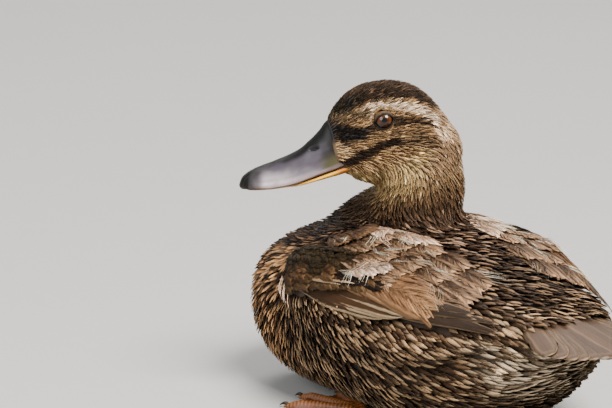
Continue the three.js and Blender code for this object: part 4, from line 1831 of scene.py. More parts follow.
@dataclass
class Sections:
    """A packed bill's shape, read ring by ring from its solid: lengths in mm in the head's axes."""

    node: str
    stance: Stance

    def __post_init__(self) -> None:
        """Reads the solid."""
        local = self.stance.head.local(merged(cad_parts[self.node].data)[0])
        local = local[np.argsort(local[:, 1])]
        rings = np.split(local, np.flatnonzero(np.diff(local[:, 1]) > 0.4) + 1)
        rings = [ring for ring in rings if len(ring) > 3]
        at = [float(ring[:, 1].mean()) for ring in rings]
        self.start, self.end = at[0], at[-1]
        self.top = through(*zip(at, (ring[:, 2].max() for ring in rings)))
        self.bottom = through(*zip(at, (ring[:, 2].min() for ring in rings)))
        self.half = through(*zip(at, (np.abs(ring[:, 0]).max() for ring in rings)))
        self.mid = through(*zip(at, (ring[np.abs(ring[:, 0]).argmax(), 2] for ring in rings)))


class Horn(Enum):
    """Colours of the bill, as display values."""

    SIDE = (112, 102, 116)
    BASE = (34, 30, 28)
    # a painted highlight: the pale sheen along the lower front of the upper bill
    PAINTED_HIGHLIGHT = (224, 208, 214)
    RIDGE = (9, 8, 6)
    NAIL = (15, 14, 9)
    # painted shade for the inside of the nostrils
    NOSTRIL_SHADE = (10, 8, 9)
    EDGE = (214, 184, 180)
    LIP = (74, 44, 36)
    OLIVE = (144, 136, 92)
    MANDIBLE = (240, 174, 60)
    MANDIBLE_ROOT = (226, 140, 60)
    MANDIBLE_TIP = (232, 176, 120)


@dataclass
class Bill:
    """Upper and lower bill as dense closed lofts, with nostrils, nail, lamellae and a rolled edge."""

    stance: Stance
    rows: int = 190
    ring: int = 120
    nostril: tuple[float, float] = (39.6, -10.6)
    nostril_size: tuple[float, float] = (3.6, 1.15)
    nail_start: float = 73.0
    nail_half: float = 4.2
    filling: float = 0.7
    widen: float = 1.07
    under_light: float = 2.5
    comb_pitch: float = 0.9
    tip_round: float = 2.6
    tuck: float = 1.1

    def loft(self, sections: Sections, fullness: float) -> tuple[Array, Array]:
        """Rings of points in the head's axes.

        Args:
            sections: the solid's shape.
            fullness: 2 for an elliptical section, more for a squarer one.

        Returns:
            The points as (row, ring, 3), and the height share of each: 1 at the top, -1 at the bottom.
        """
        share = (1.0 - np.cos(np.linspace(0.0, math.pi, self.rows))) / 2.0
        share = lerp(np.linspace(0.0, 1.0, self.rows), share, 0.6)
        ahead = lerp(sections.start, sections.end, share)
        closing = np.clip((ahead - sections.end) / self.tip_round + 1.0, 0.0, 1.0)
        closing = np.sqrt(1.0 - 0.94 * closing**2.4)[:, None]
        angle = np.linspace(0.0, 2.0 * math.pi, self.ring, endpoint=False)
        across = power(np.cos(angle), 2.0 / fullness)
        height = power(np.sin(angle), 2.0 / fullness)
        mid = sections.mid(ahead)[:, None]
        above = (sections.top(ahead)[:, None] - mid) * np.maximum(height, 0.0) * closing
        below = (mid - sections.bottom(ahead)[:, None]) * np.minimum(height, 0.0) * closing
        side = sections.half(ahead)[:, None] * across * closing
        points = np.stack([side, np.broadcast_to(ahead[:, None], side.shape), mid + above + below], axis=-1)
        return points, np.broadcast_to(height, side.shape)

    def upper(self, finish: "PaintedFinish") -> None:
        """Makes the upper bill.

        Args:
            finish: its finish.
        """
        sections = Sections("bill_upper", self.stance)
        points, height = self.loft(sections, 1.9)
        side, ahead, up = np.moveaxis(points, -1, 0)
        side = np.abs(side)
        on_top = height > 0
        mid = sections.mid(ahead)
        above_edge = up - mid
        ball = np.hypot((ahead - self.nostril[0]) / self.nostril_size[0],
                        (up - self.nostril[1] - 0.16 * (self.nostril[0] - ahead)) / self.nostril_size[1])
        slit = ease(ball, 1.0, 0.45) * on_top
        rim = ease(ball, 2.3, 1.2) * ease(ball, 0.7, 1.1) * on_top
        from_nail = np.hypot(side / self.nail_half, np.maximum(self.nail_start + 3.5 - ahead, 0.0) / 3.5)
        groove = ease(np.abs(from_nail - 1.0), 0.28, 0.0) * on_top
        groove = groove * ease(ahead, self.nail_start - 2, self.nail_start + 1)
        lip = ease(above_edge, 1.7, 0.6) * ease(ahead, 24, 32)
        trough = ease(np.abs(above_edge - 2.8), 1.5, 0.2) * ease(ahead, 30, 40) * ease(ahead, 80, 74)
        comb = np.sin(ahead * TURN / self.comb_pitch) * ease(np.abs(above_edge - 0.2), 1.1, 0.3)
        comb = comb * ease(ahead, 32, 40) * ease(ahead, 76, 66)
        sink = 1.3 * slit - 0.08 * rim + 0.3 * groove - 0.12 * lip + 0.3 * trough + 0.07 * comb
        sink = sink + 0.05 * Ripple(9.0, 71).at(points)
        scale = 1.0 - sink / np.maximum(np.hypot(side, above_edge), 2.0)
        shaped = np.stack([points[..., 0] * scale, ahead, mid + above_edge * scale], axis=-1)
        add_painted("bill_upper_horn", self.stance.head.world(shaped.reshape(-1, 3)), lattice(*side.shape),
                    self.upper_paint(side, ahead, up, above_edge, slit, groove), finish, "bill_horn",
                    "bill_upper")

    @staticmethod
    def upper_paint(side: Array, ahead: Array, up: Array, above_edge: Array, slit: Array, groove: Array
                    ) -> Array:
        """The upper bill's colours: lavender grey, dark along the ridge and at the tip, ruddy at the edge,
        with a painted highlight on the lower front and painted shade in the nostrils.

        Args:
            side: how far out each point is.
            ahead: how far ahead.
            up: how high.
            above_edge: how high above the cutting edge.
            slit: 1 inside a nostril.
            groove: 1 in the groove round the nail.

        Returns:
            A colour for each point.
        """
        place = np.stack([side, ahead, up], axis=-1)
        cloud = Ripple(13.0, 31).at(place)
        fleck = Ripple(2.6, 32).at(place * [1.0, 0.4, 1.0])
        flecks = 0.12 * cloud + 0.09 * fleck
        forward = ease(ahead, 32, 50)
        # where the painted highlight lies: low on the side, towards the front
        low = ease(above_edge + 1.2 * cloud + 0.4 * fleck, 8.5, 0.8) * ease(ahead, 79, 68)
        layers = [
            (Horn.BASE, ease(ahead + 1.5 * cloud + 1.2 * fleck, 41, 31)),
            (Horn.OLIVE, 0.75 * ease(ahead, 41, 31) * ease(above_edge, 10, 3) * ease(above_edge, 0.5, 2.5)),
            # the painted highlight along the lower front
            (Horn.PAINTED_HIGHLIGHT, low * (0.3 * ease(ahead, 32, 44) + 0.42 * ease(ahead + cloud, 46, 61))),
            (Horn.EDGE, 0.8 * ease(above_edge, 1.7, 0.4)),
            (Horn.LIP, 0.5 * ease(above_edge, 0.8, 0.0) * ease(ahead, 50, 36)),
            (Horn.RIDGE, ease(side + 0.9 * cloud, lerp(8.6, 6.4, forward), lerp(5.2, 3.2, forward))),
            (Horn.NAIL, 0.75 * ease(ahead + 1.5 * cloud, 65, 73) + 0.25 * ease(ahead - 0.35 * side, 73, 75)),
            (Horn.RIDGE, 0.7 * groove),
            # painted shade in the nostrils, which are only shallow dents
            (Horn.NOSTRIL_SHADE, ease(slit, 0.05, 0.5)),
        ]
        return layered(Horn.SIDE, layers) * (1.0 + flecks[..., None])

    def lower(self, finish: "PaintedFinish") -> None:
        """Makes the lower bill.

        Args:
            finish: its finish.
        """
        points, height = self.loft(Sections("bill_lower", self.stance), 2.1)
        side, ahead, _ = np.moveaxis(points, -1, 0)
        between = ease(np.abs(side), 3.6, 2.4) * (height < 0) * ease(ahead, 62, 50)
        cloud = Ripple(8.0, 41).at(points)
        shaped = points.copy()
        lift = self.filling * ease(height, 0.0, 0.5) + self.tuck * ease(ahead, 44, 62)
        shaped[..., 2] += 0.5 * between + lift
        shaped[..., 0] *= self.widen
        layers = [
            (Horn.MANDIBLE_ROOT, ease(ahead + cloud, 33, 26)),
            (Horn.MANDIBLE_TIP, ease(ahead + cloud, 44, 56)),
            (Horn.NAIL, ease(ahead + cloud, 71, 76)),
            (Horn.LIP, 0.5 * between),
        ]
        colours = layered(Horn.MANDIBLE, layers, self.under_light) * (1.0 + 0.12 * cloud[..., None])
        add_painted("bill_lower_horn", self.stance.head.world(shaped.reshape(-1, 3)), lattice(*side.shape),
                    colours, finish, "lower_bill_horn", "bill_lower")

    def build(self, finish: "PaintedFinish") -> None:
        """Makes both halves."""
        self.upper(finish)
        self.lower(finish)


def layered(ground: Enum, layers: Sequence[tuple[Enum, Array]], light: float = SMOOTH_LIGHT) -> Array:
    """Linear colours built up in layers.

    Args:
        ground: the colour under all.
        layers: colours and how strongly each covers what is under it, from 0 to 1.
        light: how much light falls there.

    Returns:
        Colours with the masks' shape and three channels.
    """
    colours = np.broadcast_to(linear(ground.value, light), (*layers[0][1].shape, 3))
    for tone, mask in layers:
        colours = lerp(colours, linear(tone.value, light), np.clip(mask, 0.0, 1.0)[..., None])
    return colours


class Iris(Enum):
    """Colours of the eye, as display values."""

    IRIS = (132, 72, 8)
    INNER = (58, 27, 5)
    PUPIL = (3, 3, 5)
    # the dark ring round the iris, also painted over the upper iris as the upper lid's shadow
    LIMBUS_AND_LID_SHADOW = (18, 9, 6)
    LID = (16, 12, 10)
    LID_EDGE = (84, 68, 60)
    LID_SHADE = (8, 6, 6)
    LID_DOWN = (150, 118, 86)
    LID_DOWN_DARK = (70, 50, 34)


@dataclass
class Eye:
    """One eyeball, with its iris and pupil round the line of sight, and the upper lid's shadow painted on the
    iris.
    """

    side: str
    stance: Stance
    rows: int = 110
    ring: int = 120
    pupil: float = 13.5
    iris: float = 41.0
    gaze: tuple[float, float] = (0.05, 0.17)
    pole_gap: float = 0.004
    inset: float = 0.995
    bulge: float = 0.03

    def build(self, finish: "PaintedFinish") -> None:
        """Makes the eyeball in the place of its solid.

        Args:
            finish: its finish.
        """
        node = f"eye_{self.side}"
        centre, radius = ball_of(node)
        sight = unit(self.stance.head.turn([outward(self.side), *self.gaze]))
        up = unit(np.cross(sight, self.stance.head.turn([0.0, 1.0, 0.0])))
        across = np.cross(up, sight)
        down = np.linspace(self.pole_gap, math.pi - self.pole_gap, self.rows)
        polar, turn = np.meshgrid(down, circle(self.ring), indexing="ij")
        degrees = np.degrees(polar)
        reach = radius * (self.inset - self.bulge * ease(degrees, 14.0, 44.0))
        points = (centre + sight * (reach * np.cos(polar))[..., None]
                  + across * (reach * np.sin(polar) * np.cos(turn))[..., None]
                  + up * (reach * np.sin(polar) * np.sin(turn))[..., None])
        spokes = Ripple(1.2, 51).at(np.stack([4 * np.cos(turn), 4 * np.sin(turn), 0.02 * degrees], axis=-1))
        layers = [
            (Iris.INNER, 0.8 * ease(degrees + 2.0 * spokes, 27.0, 17.0)),
            (Iris.INNER, 0.5 * ease(spokes, 0.2, 1.6)),
            # painted shadow of the upper lid over the upper part of the iris
            (Iris.LIMBUS_AND_LID_SHADOW, 0.85 * ease(np.sin(polar) * np.sin(turn), 0.12, 0.45)),
            (Iris.LIMBUS_AND_LID_SHADOW, ease(degrees + spokes, self.iris - 6.0, self.iris)),
            (Iris.PUPIL, ease(degrees + 0.4 * spokes, self.pupil + 1.2, self.pupil - 1.2)),
        ]
        colours = layered(Iris.IRIS, layers) * (1.0 + 0.12 * spokes[..., None])
        add_painted(f"eyeball_{self.side}", points.reshape(-1, 3), lattice(self.rows, self.ring), colours,
                    finish, "eye", node)


@dataclass
class Lids:
    """The rim of bare skin that frames one eye: a closed fold from the eyeball out under the feathers."""

    side: str
    hide: Hide
    ring: int = 144
    opening: tuple[float, float] = (4.3, 3.55)
    shift: tuple[float, float] = (0.35, 0.25)
    corner: float = 0.55
    droop: float = 0.5
    fold: tuple = ((0.0, -0.55), (0.0, 0.1), (0.1, 0.34), (0.24, 0.44), (0.4, 0.42), (0.58, 0.36),
                   (0.9, 0.34), (1.3, 0.26), (1.7, 0.12), (2.2, -0.3), (2.4, -0.9), (1.4, -1.3), (0.5, -1.2))

    def build(self, finish: "PaintedFinish") -> None:
        """Makes the fold round one eye.

        Args:
            finish: its finish.
        """
        angle = circle(self.ring)
        way = np.column_stack([np.cos(angle), np.sin(angle)])
        pinch = np.exp(-((way[:, 1] / 0.24) ** 2))
        inner = 1.0 / np.hypot(*(way / self.opening).T) + self.corner * pinch
        slope = -self.droop * way[:, 0]
        rings = []
        for away, lift in self.fold:
            flat = way * (inner + away)[:, None]
            flat[:, 1] += slope * (1.0 - away / 3.0)
            flat += np.array(self.shift) * (1.0 - away / 3.0)
            rings.append(self.raised(flat, ease(away, 0.5, 2.2), lift))
        points = self.hide.stance.head.world(np.stack(rings, axis=1).reshape(-1, 3))
        add_painted(f"lids_{self.side}", points, lattice(self.ring, len(self.fold), looped=True),
                    self.colours(way), finish, "eye")

    def raised(self, flat: Array, share: float, lift: float) -> Array:
        """Sets a ring of the fold on the eyeball, on the skin or between them.

        Args:
            flat: its points ahead and up from the middle of the eye.
            share: 0 on the eyeball, 1 on the skin.
            lift: height over what it stands on; below 0 it is hidden.

        Returns:
            Its points in the head's axes.
        """
        head, out = self.hide.stance.head, outward(self.side)
        middle, radius = ball_of(f"eye_{self.side}")
        centre = head.local(middle[None])[0]
        distance = np.linalg.norm(flat, axis=1)
        ball = np.sqrt(np.maximum((radius / MM) ** 2 - distance**2, 0.3))
        far_out = head.world(np.column_stack([np.full(self.ring, out * 30.0), flat + centre[1:]]))
        hits, _ = self.hide.cast(far_out, np.tile(head.turn([-out, 0.0, 0.0]), (self.ring, 1)))
        skin = out * head.local(hits)[:, 0] - out * centre[0] - 0.45
        level = lerp(ball, np.minimum(skin, ball + 1.2), share)
        if lift > 0.0:
            level = np.maximum(level, ball - 0.05)
        return np.column_stack([out * (level + lift) + centre[0], flat + centre[1:]])

    def colours(self, way: Array) -> Array:
        """The lids' colours, dark above the eye and greyer along the lower edge.

        Args:
            way: the direction of each ring from the middle of the eye, ahead and up.

        Returns:
            A colour for each point of the fold.
        """
        away = np.broadcast_to([step[0] for step in self.fold], (self.ring, len(self.fold)))
        level = way[:, 1:]
        below = ease(level, 0.1, -0.6)
        fleck = Ripple(0.16, 57).at(np.column_stack([way, np.zeros(self.ring)]))[:, None]
        down = ease(away + 0.1 * fleck - 0.45 * ease(level, 0.1, 0.8), 0.36, 0.54)
        dark = np.clip(np.exp(-((level / 0.3) ** 2)) + 0.5 * below + 0.4 * fleck, 0.0, 0.9)
        layers = [
            (Iris.LID_EDGE, 0.75 * below * ease(away, 0.05, 0.3)),
            (Iris.LID_DOWN, down),
            (Iris.LID_DOWN_DARK, down * dark),
            (Iris.LID_SHADE, ease(away, 0.2, 0.0)),
        ]
        return layered(Iris.LID, layers)


# ---- feet


class FootTone(Enum):
    """Colours of the feet, as display values."""

    TOE = (222, 122, 44)
    WEB = (176, 96, 44)
    SCUTE = (244, 160, 78)
    DUSK = (120, 66, 38)
    CLAW = (44, 36, 32)
    CLAW_ROOT = (110, 86, 66)


@dataclass
class Foot:
    """One webbed foot with its shank: a dense skin with scutes over the toes, and the claws."""

    side: str
    stance: Stance
    voxel: float = 0.62 * MM
    swell: float = 0.15 * MM
    smoothings: int = 5
    ankle: tuple[float, float] = (43.0, 14.0)
    outturn: float = math.radians(14.0)
    toes: tuple[float, ...] = (-24.0, 0.0, 24.0)
    toe_scute: float = 2.1
    shank_ring: float = 2.6
    claw_length: float = 5.2
    claw_radius: float = 1.15
    claw_rows: int = 12
    claw_ring: int = 16

    def skin(self, finish: "PaintedFinish") -> None:
        """Makes the scaly skin, in the place of the foot's and the shank's solids.

        Args:
            finish: its finish.
        """
        nodes = (f"foot_{self.side}", f"leg_{self.side}")
        solids = [merged(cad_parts[node].data) for node in nodes]
        points, faces = voxelled(solids, self.voxel, self.swell)
        edges = edges_of(faces)
        for _ in range(self.smoothings):
            points = relaxed(points, edges, 0.5)
        places = self.stance.body.local(points)
        x, y, z = places.T
        right, ahead = self.on_foot(x, y)
        reach, bearing = np.hypot(right, ahead), np.degrees(np.arctan2(right, ahead))
        off_toe = np.min([np.abs(bearing - toe) for toe in self.toes], axis=0) * np.radians(1.0) * reach
        toe = ease(off_toe, 3.4, 1.8) * ease(z, 9, 6)
        shank = ease(z, 7, 12)
        web = (1.0 - toe) * (1.0 - shank)
        scute = np.maximum(np.cos(reach * TURN / self.toe_scute), -0.2) * toe
        rings = np.maximum(np.cos(z * TURN / self.shank_ring), -0.2) * shank
        pebble = Ripple(1.7, 81).at(places)
        folds = np.cos(bearing * 0.9 + 1.5 * Ripple(9.0, 82).at(places)) * web
        relief = 0.16 * scute + 0.14 * rings + 0.08 * pebble + 0.12 * folds
        points = points + vertex_normals(points, faces) * (relief * MM)[:, None]
        layers = [
            (FootTone.WEB, web),
            (FootTone.SCUTE, 0.7 * np.maximum(scute, rings)),
            (FootTone.DUSK, web * ease(pebble + folds, 0.2, 1.5)),
            (FootTone.DUSK, 0.6 * ease(np.maximum(-scute, -rings), 0.02, 0.2)),
        ]
        add_painted(f"foot_skin_{self.side}", points, (faces, faces[:0]), layered(FootTone.TOE, layers),
                    finish, "webbed_skin", *nodes)

    def on_foot(self, x: Array, y: Array) -> tuple[Array, Array]:
        """Measures places along the foot's middle toe.

        Args:
            x: how far left they are in the body's axes.
            y: how far back.

        Returns:
            How far they are outward of the toe's line and how far ahead of the ankle.
        """
        side, ahead = outward(self.side) * x - self.ankle[0], self.ankle[1] - y
        sine, cosine = math.sin(self.outturn), math.cos(self.outturn)
        return side * cosine - ahead * sine, side * sine + ahead * cosine

    def off_foot(self, right: Array, ahead: Array) -> tuple[Array, Array]:
        """The reverse of on_foot.

        Args:
            right: how far the places are outward of the middle toe's line.
            ahead: how far ahead of the ankle.

        Returns:
            How far left they are in the body's axes and how far back.
        """
        sine, cosine = math.sin(self.outturn), math.cos(self.outturn)
        side = right * cosine + ahead * sine + self.ankle[0]
        return outward(self.side) * side, self.ankle[1] - (ahead * cosine - right * sine)

    def claws(self, finish: "PaintedFinish") -> None:
        """Makes the claws: a curved cone at the end of each toe.

        Args:
            finish: their finish.
        """
        local = self.stance.body.local(merged(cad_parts[f"foot_{self.side}"].data)[0])
        right, ahead = self.on_foot(local[:, 0], local[:, 1])
        angle = circle(self.claw_ring)
        share = np.linspace(0.0, 1.0, self.claw_rows)[:, None]
        radius = self.claw_radius * (1.0 - share) ** 0.7 + 0.06
        aside = radius * np.cos(angle) * 0.8
        up = radius * np.sin(angle) + (2.1 + 0.9 * np.sin(math.pi * share * 0.8) - 1.7 * share**2)
        cones = []
        for bearing in np.radians(self.toes):
            sine, cosine = math.sin(bearing), math.cos(bearing)
            on_line = np.abs(right * cosine - ahead * sine) < 5.0
            tip = (right * sine + ahead * cosine)[on_line].max()
            run = tip - 2.4 + self.claw_length * share
            x, y = self.off_foot(sine * run + cosine * aside, cosine * run - sine * aside)
            cones.append(self.stance.body.world(np.stack([x, y, up], axis=-1).reshape(-1, 3)))
        tubes = [lattice(*up.shape, number * up.size) for number in range(len(cones))]
        quads, caps = (np.concatenate(part) for part in zip(*tubes))
        dark = np.broadcast_to(ease(share, 0.1, 0.6), up.shape)
        tone = np.tile(layered(FootTone.CLAW_ROOT, [(FootTone.CLAW, dark)]), (len(cones), 1, 1))
        add_painted(f"claws_{self.side}", np.concatenate(cones), (quads, caps), tone, finish, "webbed_skin")

    def build(self, skin: "PaintedFinish", claw: "PaintedFinish") -> None:
        """Makes the skin and the claws."""
        self.skin(skin)
        self.claws(claw)


# ---- materials


class Desk:
    """Lays shader nodes in one tree and joins them."""

    def __init__(self, tree: Tree) -> None:
        """Starts on a tree."""
        self.tree = tree
        self.count = 0

    def node(self, kind: str, inputs: dict | None = None, **settings: object) -> Node:
        """Adds a node.

        Args:
            kind: the node's type, without ShaderNode in front.
            inputs: values or sockets for its inputs, by name or number.
            settings: its own properties.

        Returns:
            The node.
        """
        made = self.tree.nodes.new(kind if kind.startswith("NodeGroup") else f"ShaderNode{kind}")
        made.location = (220 * (self.count % 12), -260 * (self.count // 12))
        self.count += 1
        for key, value in settings.items():
            setattr(made, key, value)
        self.feed(made.inputs, inputs or {})
        return made

    def feed(self, sockets: Sockets, values: dict) -> None:
        """Joins sockets to others, or gives them values of their own.

        Args:
            sockets: where the values go.
            values: values or other sockets, by the name or number of the socket that takes them.
        """
        for key, value in values.items():
            if isinstance(value, Socket):
                self.tree.links.new(value, sockets[key])
            else:
                sockets[key].default_value = value

    def math(self, operation: str, a: object, b: object = 0.0, c: object = 0.0) -> Socket:
        """A sum on numbers, as a Math node."""
        return self.node("Math", {0: a, 1: b, 2: c}, operation=operation).outputs[0]

    def plus(self, a: object, b: object) -> Socket:
        """Two numbers added."""
        return self.math("ADD", a, b)

    def less(self, a: object, b: object) -> Socket:
        """The second number taken from the first."""
        return self.math("SUBTRACT", a, b)

    def times(self, a: object, b: object) -> Socket:
        """Two numbers multiplied."""
        return self.math("MULTIPLY", a, b)

    def blend(self, a: object, b: object, c: object) -> Socket:
        """Two numbers multiplied and a third added."""
        return self.math("MULTIPLY_ADD", a, b, c)

    def step(self, value: object, low: object, high: object, to_low: float = 0.0, to_high: float = 1.0
             ) -> Socket:
        """A smooth step from one value at low to another at high."""
        inputs = {"Value": value, "From Min": low, "From Max": high, "To Min": to_low, "To Max": to_high}
        return self.node("MapRange", inputs, interpolation_type="SMOOTHSTEP").outputs[0]

    def mix(self, share: object, a: object, b: object, how: str = "MIX") -> Socket:
        """Two colours mixed."""
        inputs = {0: share, 6: a, 7: b}
        return self.node("Mix", inputs, data_type="RGBA", blend_type=how).outputs[2]

    def noise(self, vector: object, scale: float, detail: float = 2.0, rough: float = 0.5) -> Socket:
        """Noise of 0 to 1 over a vector."""
        inputs = {"Vector": vector, "Scale": scale, "Detail": detail, "Roughness": rough}
        return self.node("TexNoise", inputs).outputs["Fac"]

    def grey(self, level: Socket) -> Socket:
        """A number as a colour with no hue."""
        return self.node("CombineColor", {0: level, 1: level, 2: level}).outputs[0]

    def place(self) -> Socket:
        """The place on the piece, in its own axes."""
        return self.node("TexCoord").outputs["Object"]

    def read(self, layer: str) -> Sockets:
        """What is stored at the mesh's points in a layer."""
        return self.node("Attribute", attribute_name=layer).outputs

    def group(self, name: str, inputs: dict) -> Sockets:
        """The outputs of a shared group with the values given."""
        return self.node("Group", inputs, node_tree=Groups.get(name)).outputs

    def bump(self, height: Socket, distance: float) -> Socket:
        """Relief from a height, with the full height standing for a distance in metres."""
        return self.node("Bump", {"Height": height, "Distance": distance, "Strength": 1.0}).outputs[0]


FLOAT, COLOUR, VECTOR = "NodeSocketFloat", "NodeSocketColor", "NodeSocketVector"


def new_group(name: str, inputs: dict[str, object], outputs: dict[str, str]
              ) -> tuple[Desk, Sockets, Sockets]:
    """A shader node group with named sockets.

    Args:
        name: the group's name.
        inputs: each input's starting value, or its socket type where it has none.
        outputs: each output's socket type.

    Returns:
        A desk on the group's tree, the sockets that give its inputs and those that take its outputs.
    """
    tree = bpy.data.node_groups.new(name, "ShaderNodeTree")
    for label, value in inputs.items():
        kind = value if isinstance(value, str) else VECTOR if isinstance(value, tuple) else FLOAT
        socket = tree.interface.new_socket(label, in_out="INPUT", socket_type=kind)
        if value is not kind:
            socket.default_value = value
    for label, kind in outputs.items():
        tree.interface.new_socket(label, in_out="OUTPUT", socket_type=kind)
    desk = Desk(tree)
    return desk, desk.node("NodeGroupInput").outputs, desk.node("NodeGroupOutput").inputs


class Groups:
    """The node groups that several finishes share, each built when it is first asked for."""

    made: dict[str, Tree] = {}

    @classmethod
    def get(cls, name: str) -> Tree:
        """The group of that name."""
        if name not in cls.made:
            cls.made[name] = {"Feather vane": cls.vane, "Fine grain": cls.grain}[name](name)
        return cls.made[name]

    @staticmethod
    def vane(name: str) -> Tree:
        """A feather's pattern: fringe, inner marks, shaft and the fine barbs that slant from it.

        Args:
            name: the group's name.

        Returns:
            The group's tree.
        """
        desk, given, out = new_group(
            name,
            {"Vane": VECTOR, "Middle": COLOUR, "Fringe": COLOUR, "Edge": 0.3, "Marks": 0.0, "Slender": 2.5,
             "Barbs": 30.0, "Streak": 0.2, "Ragged": 0.4, "Soft": 0.4, "Streaks": 9.0},
            {"Color": COLOUR, "Height": FLOAT, "Roughness": FLOAT})
        edge, soft = given["Edge"], given["Soft"]
        vane = desk.node("SeparateXYZ", {0: given["Vane"]}).outputs
        across = desk.math("ABSOLUTE", desk.blend(vane[0], 2.0, -1.0))
        to_tip = desk.times(desk.less(1.0, vane[1]), given["Slender"])
        inside = desk.math("SMOOTH_MIN", desk.less(1.0, across), to_tip, 0.25)
        rough = desk.noise(desk.place(), 420.0, 3.0)
        inside = desk.blend(desk.less(rough, 0.5), given["Ragged"], inside)
        sure, none = desk.times(edge, desk.less(1.0, soft)), desk.times(edge, desk.plus(1.0, soft))
        fringe = desk.step(inside, sure, none, 1.0, 0.0)
        ring_up = desk.step(inside, desk.plus(edge, 0.12), desk.plus(edge, 0.22))
        ring_down = desk.step(inside, desk.plus(edge, 0.3), desk.plus(edge, 0.42), 1.0, 0.0)
        ring = desk.times(desk.times(ring_up, ring_down), given["Marks"])
        colour = desk.mix(desk.math("MAXIMUM", fringe, ring), given["Middle"], given["Fringe"])
        slant = desk.blend(across, -0.35, vane[1])
        wave = desk.math("SINE", desk.times(slant, desk.times(given["Barbs"], TURN)))
        own = desk.times(desk.node("NewGeometry").outputs["Random Per Island"], 40.0)
        spread = desk.times(desk.blend(across, -0.9, vane[1]), 1.5)
        stretched = desk.node("CombineXYZ", {0: desk.times(vane[0], given["Streaks"]), 1: spread, 2: own})
        streaks = desk.noise(stretched.outputs[0], 1.6, 3.0, 0.7)
        tone = desk.blend(desk.less(streaks, 0.5), desk.times(given["Streak"], 4.0), 1.0)
        tone = desk.blend(wave, desk.times(given["Streak"], 0.25), tone)
        tone = desk.times(tone, desk.step(across, 0.0, 0.07, 0.78, 1.0))
        desk.feed(out, {"Color": desk.mix(1.0, colour, desk.grey(tone), "MULTIPLY"),
                        "Height": desk.plus(desk.times(wave, 0.5), streaks),
                        "Roughness": desk.blend(streaks, 0.25, 0.45)})
        return desk.tree

    @staticmethod
    def grain(name: str) -> Tree:
        """Fine grain in two sizes: a value around 1 to multiply colours by, and a height.

        Args:
            name: the group's name.

        Returns:
            The group's tree.
        """
        desk, given, out = new_group(name, {"Scale": 300.0, "Strength": 0.2, "Stretch": (1.0, 1.0, 1.0)},
                                     {"Tone": COLOUR, "Height": FLOAT})
        scaled = desk.node("VectorMath", {0: desk.place(), 1: given["Stretch"]}, operation="MULTIPLY")
        sized = desk.node("VectorMath", {0: scaled.outputs[0], "Scale": given["Scale"]}, operation="SCALE")
        fine = desk.noise(sized.outputs[0], 1.0, 4.0, 0.6)
        broad = desk.noise(sized.outputs[0], 0.13, 2.0)
        both = desk.plus(desk.times(fine, 0.6), desk.times(broad, 0.4))
        swing = desk.times(desk.less(both, 0.5), desk.times(given["Strength"], 4.0))
        desk.feed(out, {"Tone": desk.grey(desk.plus(swing, 1.0)), "Height": fine})
        return desk.tree


def new_material(name: str) -> tuple[Material, Desk, Sockets]:
    """Starts a material.

    Args:
        name: its name.

    Returns:
        The material, a desk on its tree and the inputs of its Principled shader.
    """
    material = bpy.data.materials.new(name)
    material.use_nodes = True
    return material, Desk(material.node_tree), material.node_tree.nodes["Principled BSDF"].inputs


@dataclass(frozen=True)
class PlumageFinish:
    """The finish of feather vanes, which read their colours from the mesh.

    Attributes:
        name: the material's name.
        slender: how many half widths long a vane looks.
        barbs: how many ribs of barbs it shows.
        streak: how strong its streaks are.
        relief: height of the barbs, in metres.
        gloss: how much light it throws back.
        ragged: unevenness of the fringe's inner line.
        soft: how softly the fringe ends.
        streaks: how many streaks lie side by side.
    """

    name: str
    slender: float
    barbs: float
    streak: float
    relief: float
    gloss: float = 0.08
    ragged: float = 0.4
    soft: float = 0.4
    streaks: float = 9.0

    def material(self) -> Material:
        """The material, made once.

        Returns:
            The material.
        """
        if self.name in bpy.data.materials:
            return bpy.data.materials[self.name]
        material, desk, shader = new_material(self.name)
        middle, fringe = desk.read("Middle"), desk.read("Fringe")
        vane = desk.group("Feather vane", {
            "Vane": desk.node("UVMap", uv_map=VANE_MAP).outputs[0],
            "Middle": middle["Color"], "Edge": middle["Alpha"],
            "Fringe": fringe["Color"], "Marks": fringe["Alpha"],
            "Slender": self.slender, "Barbs": self.barbs, "Streak": self.streak, "Ragged": self.ragged,
            "Soft": self.soft, "Streaks": self.streaks})
        desk.feed(shader, {
            "Base Color": vane["Color"], "Roughness": vane["Roughness"], "Specular IOR Level": self.gloss,
            "Normal": desk.bump(vane["Height"], self.relief)})
        return material


@dataclass(frozen=True)
class SkinFinish:
    """The finish of the skin under the plumage: down of the same colours darkened with painted shade, matt
    and slightly mottled.
    """

    name: str = "downy skin"
    # the share of the colour kept; the rest is mixed to black as painted shade under the plumage
    shade: float = 0.7

    def material(self) -> Material:
        """Makes the material.

        Returns:
            The material.
        """
        material, desk, shader = new_material(self.name)
        grain = desk.group("Fine grain", {"Scale": 900.0, "Strength": 0.4})
        colour = desk.mix(1.0, desk.read("Tint")["Color"], grain["Tone"], "MULTIPLY")
        # painted shade: the colour mixed towards black
        desk.feed(shader, {"Base Color": desk.mix(1.0 - self.shade, colour, (0.0, 0.0, 0.0, 1.0)),
                           "Normal": desk.bump(grain["Height"], 0.3 * MM), "Roughness": 0.95})
        return material


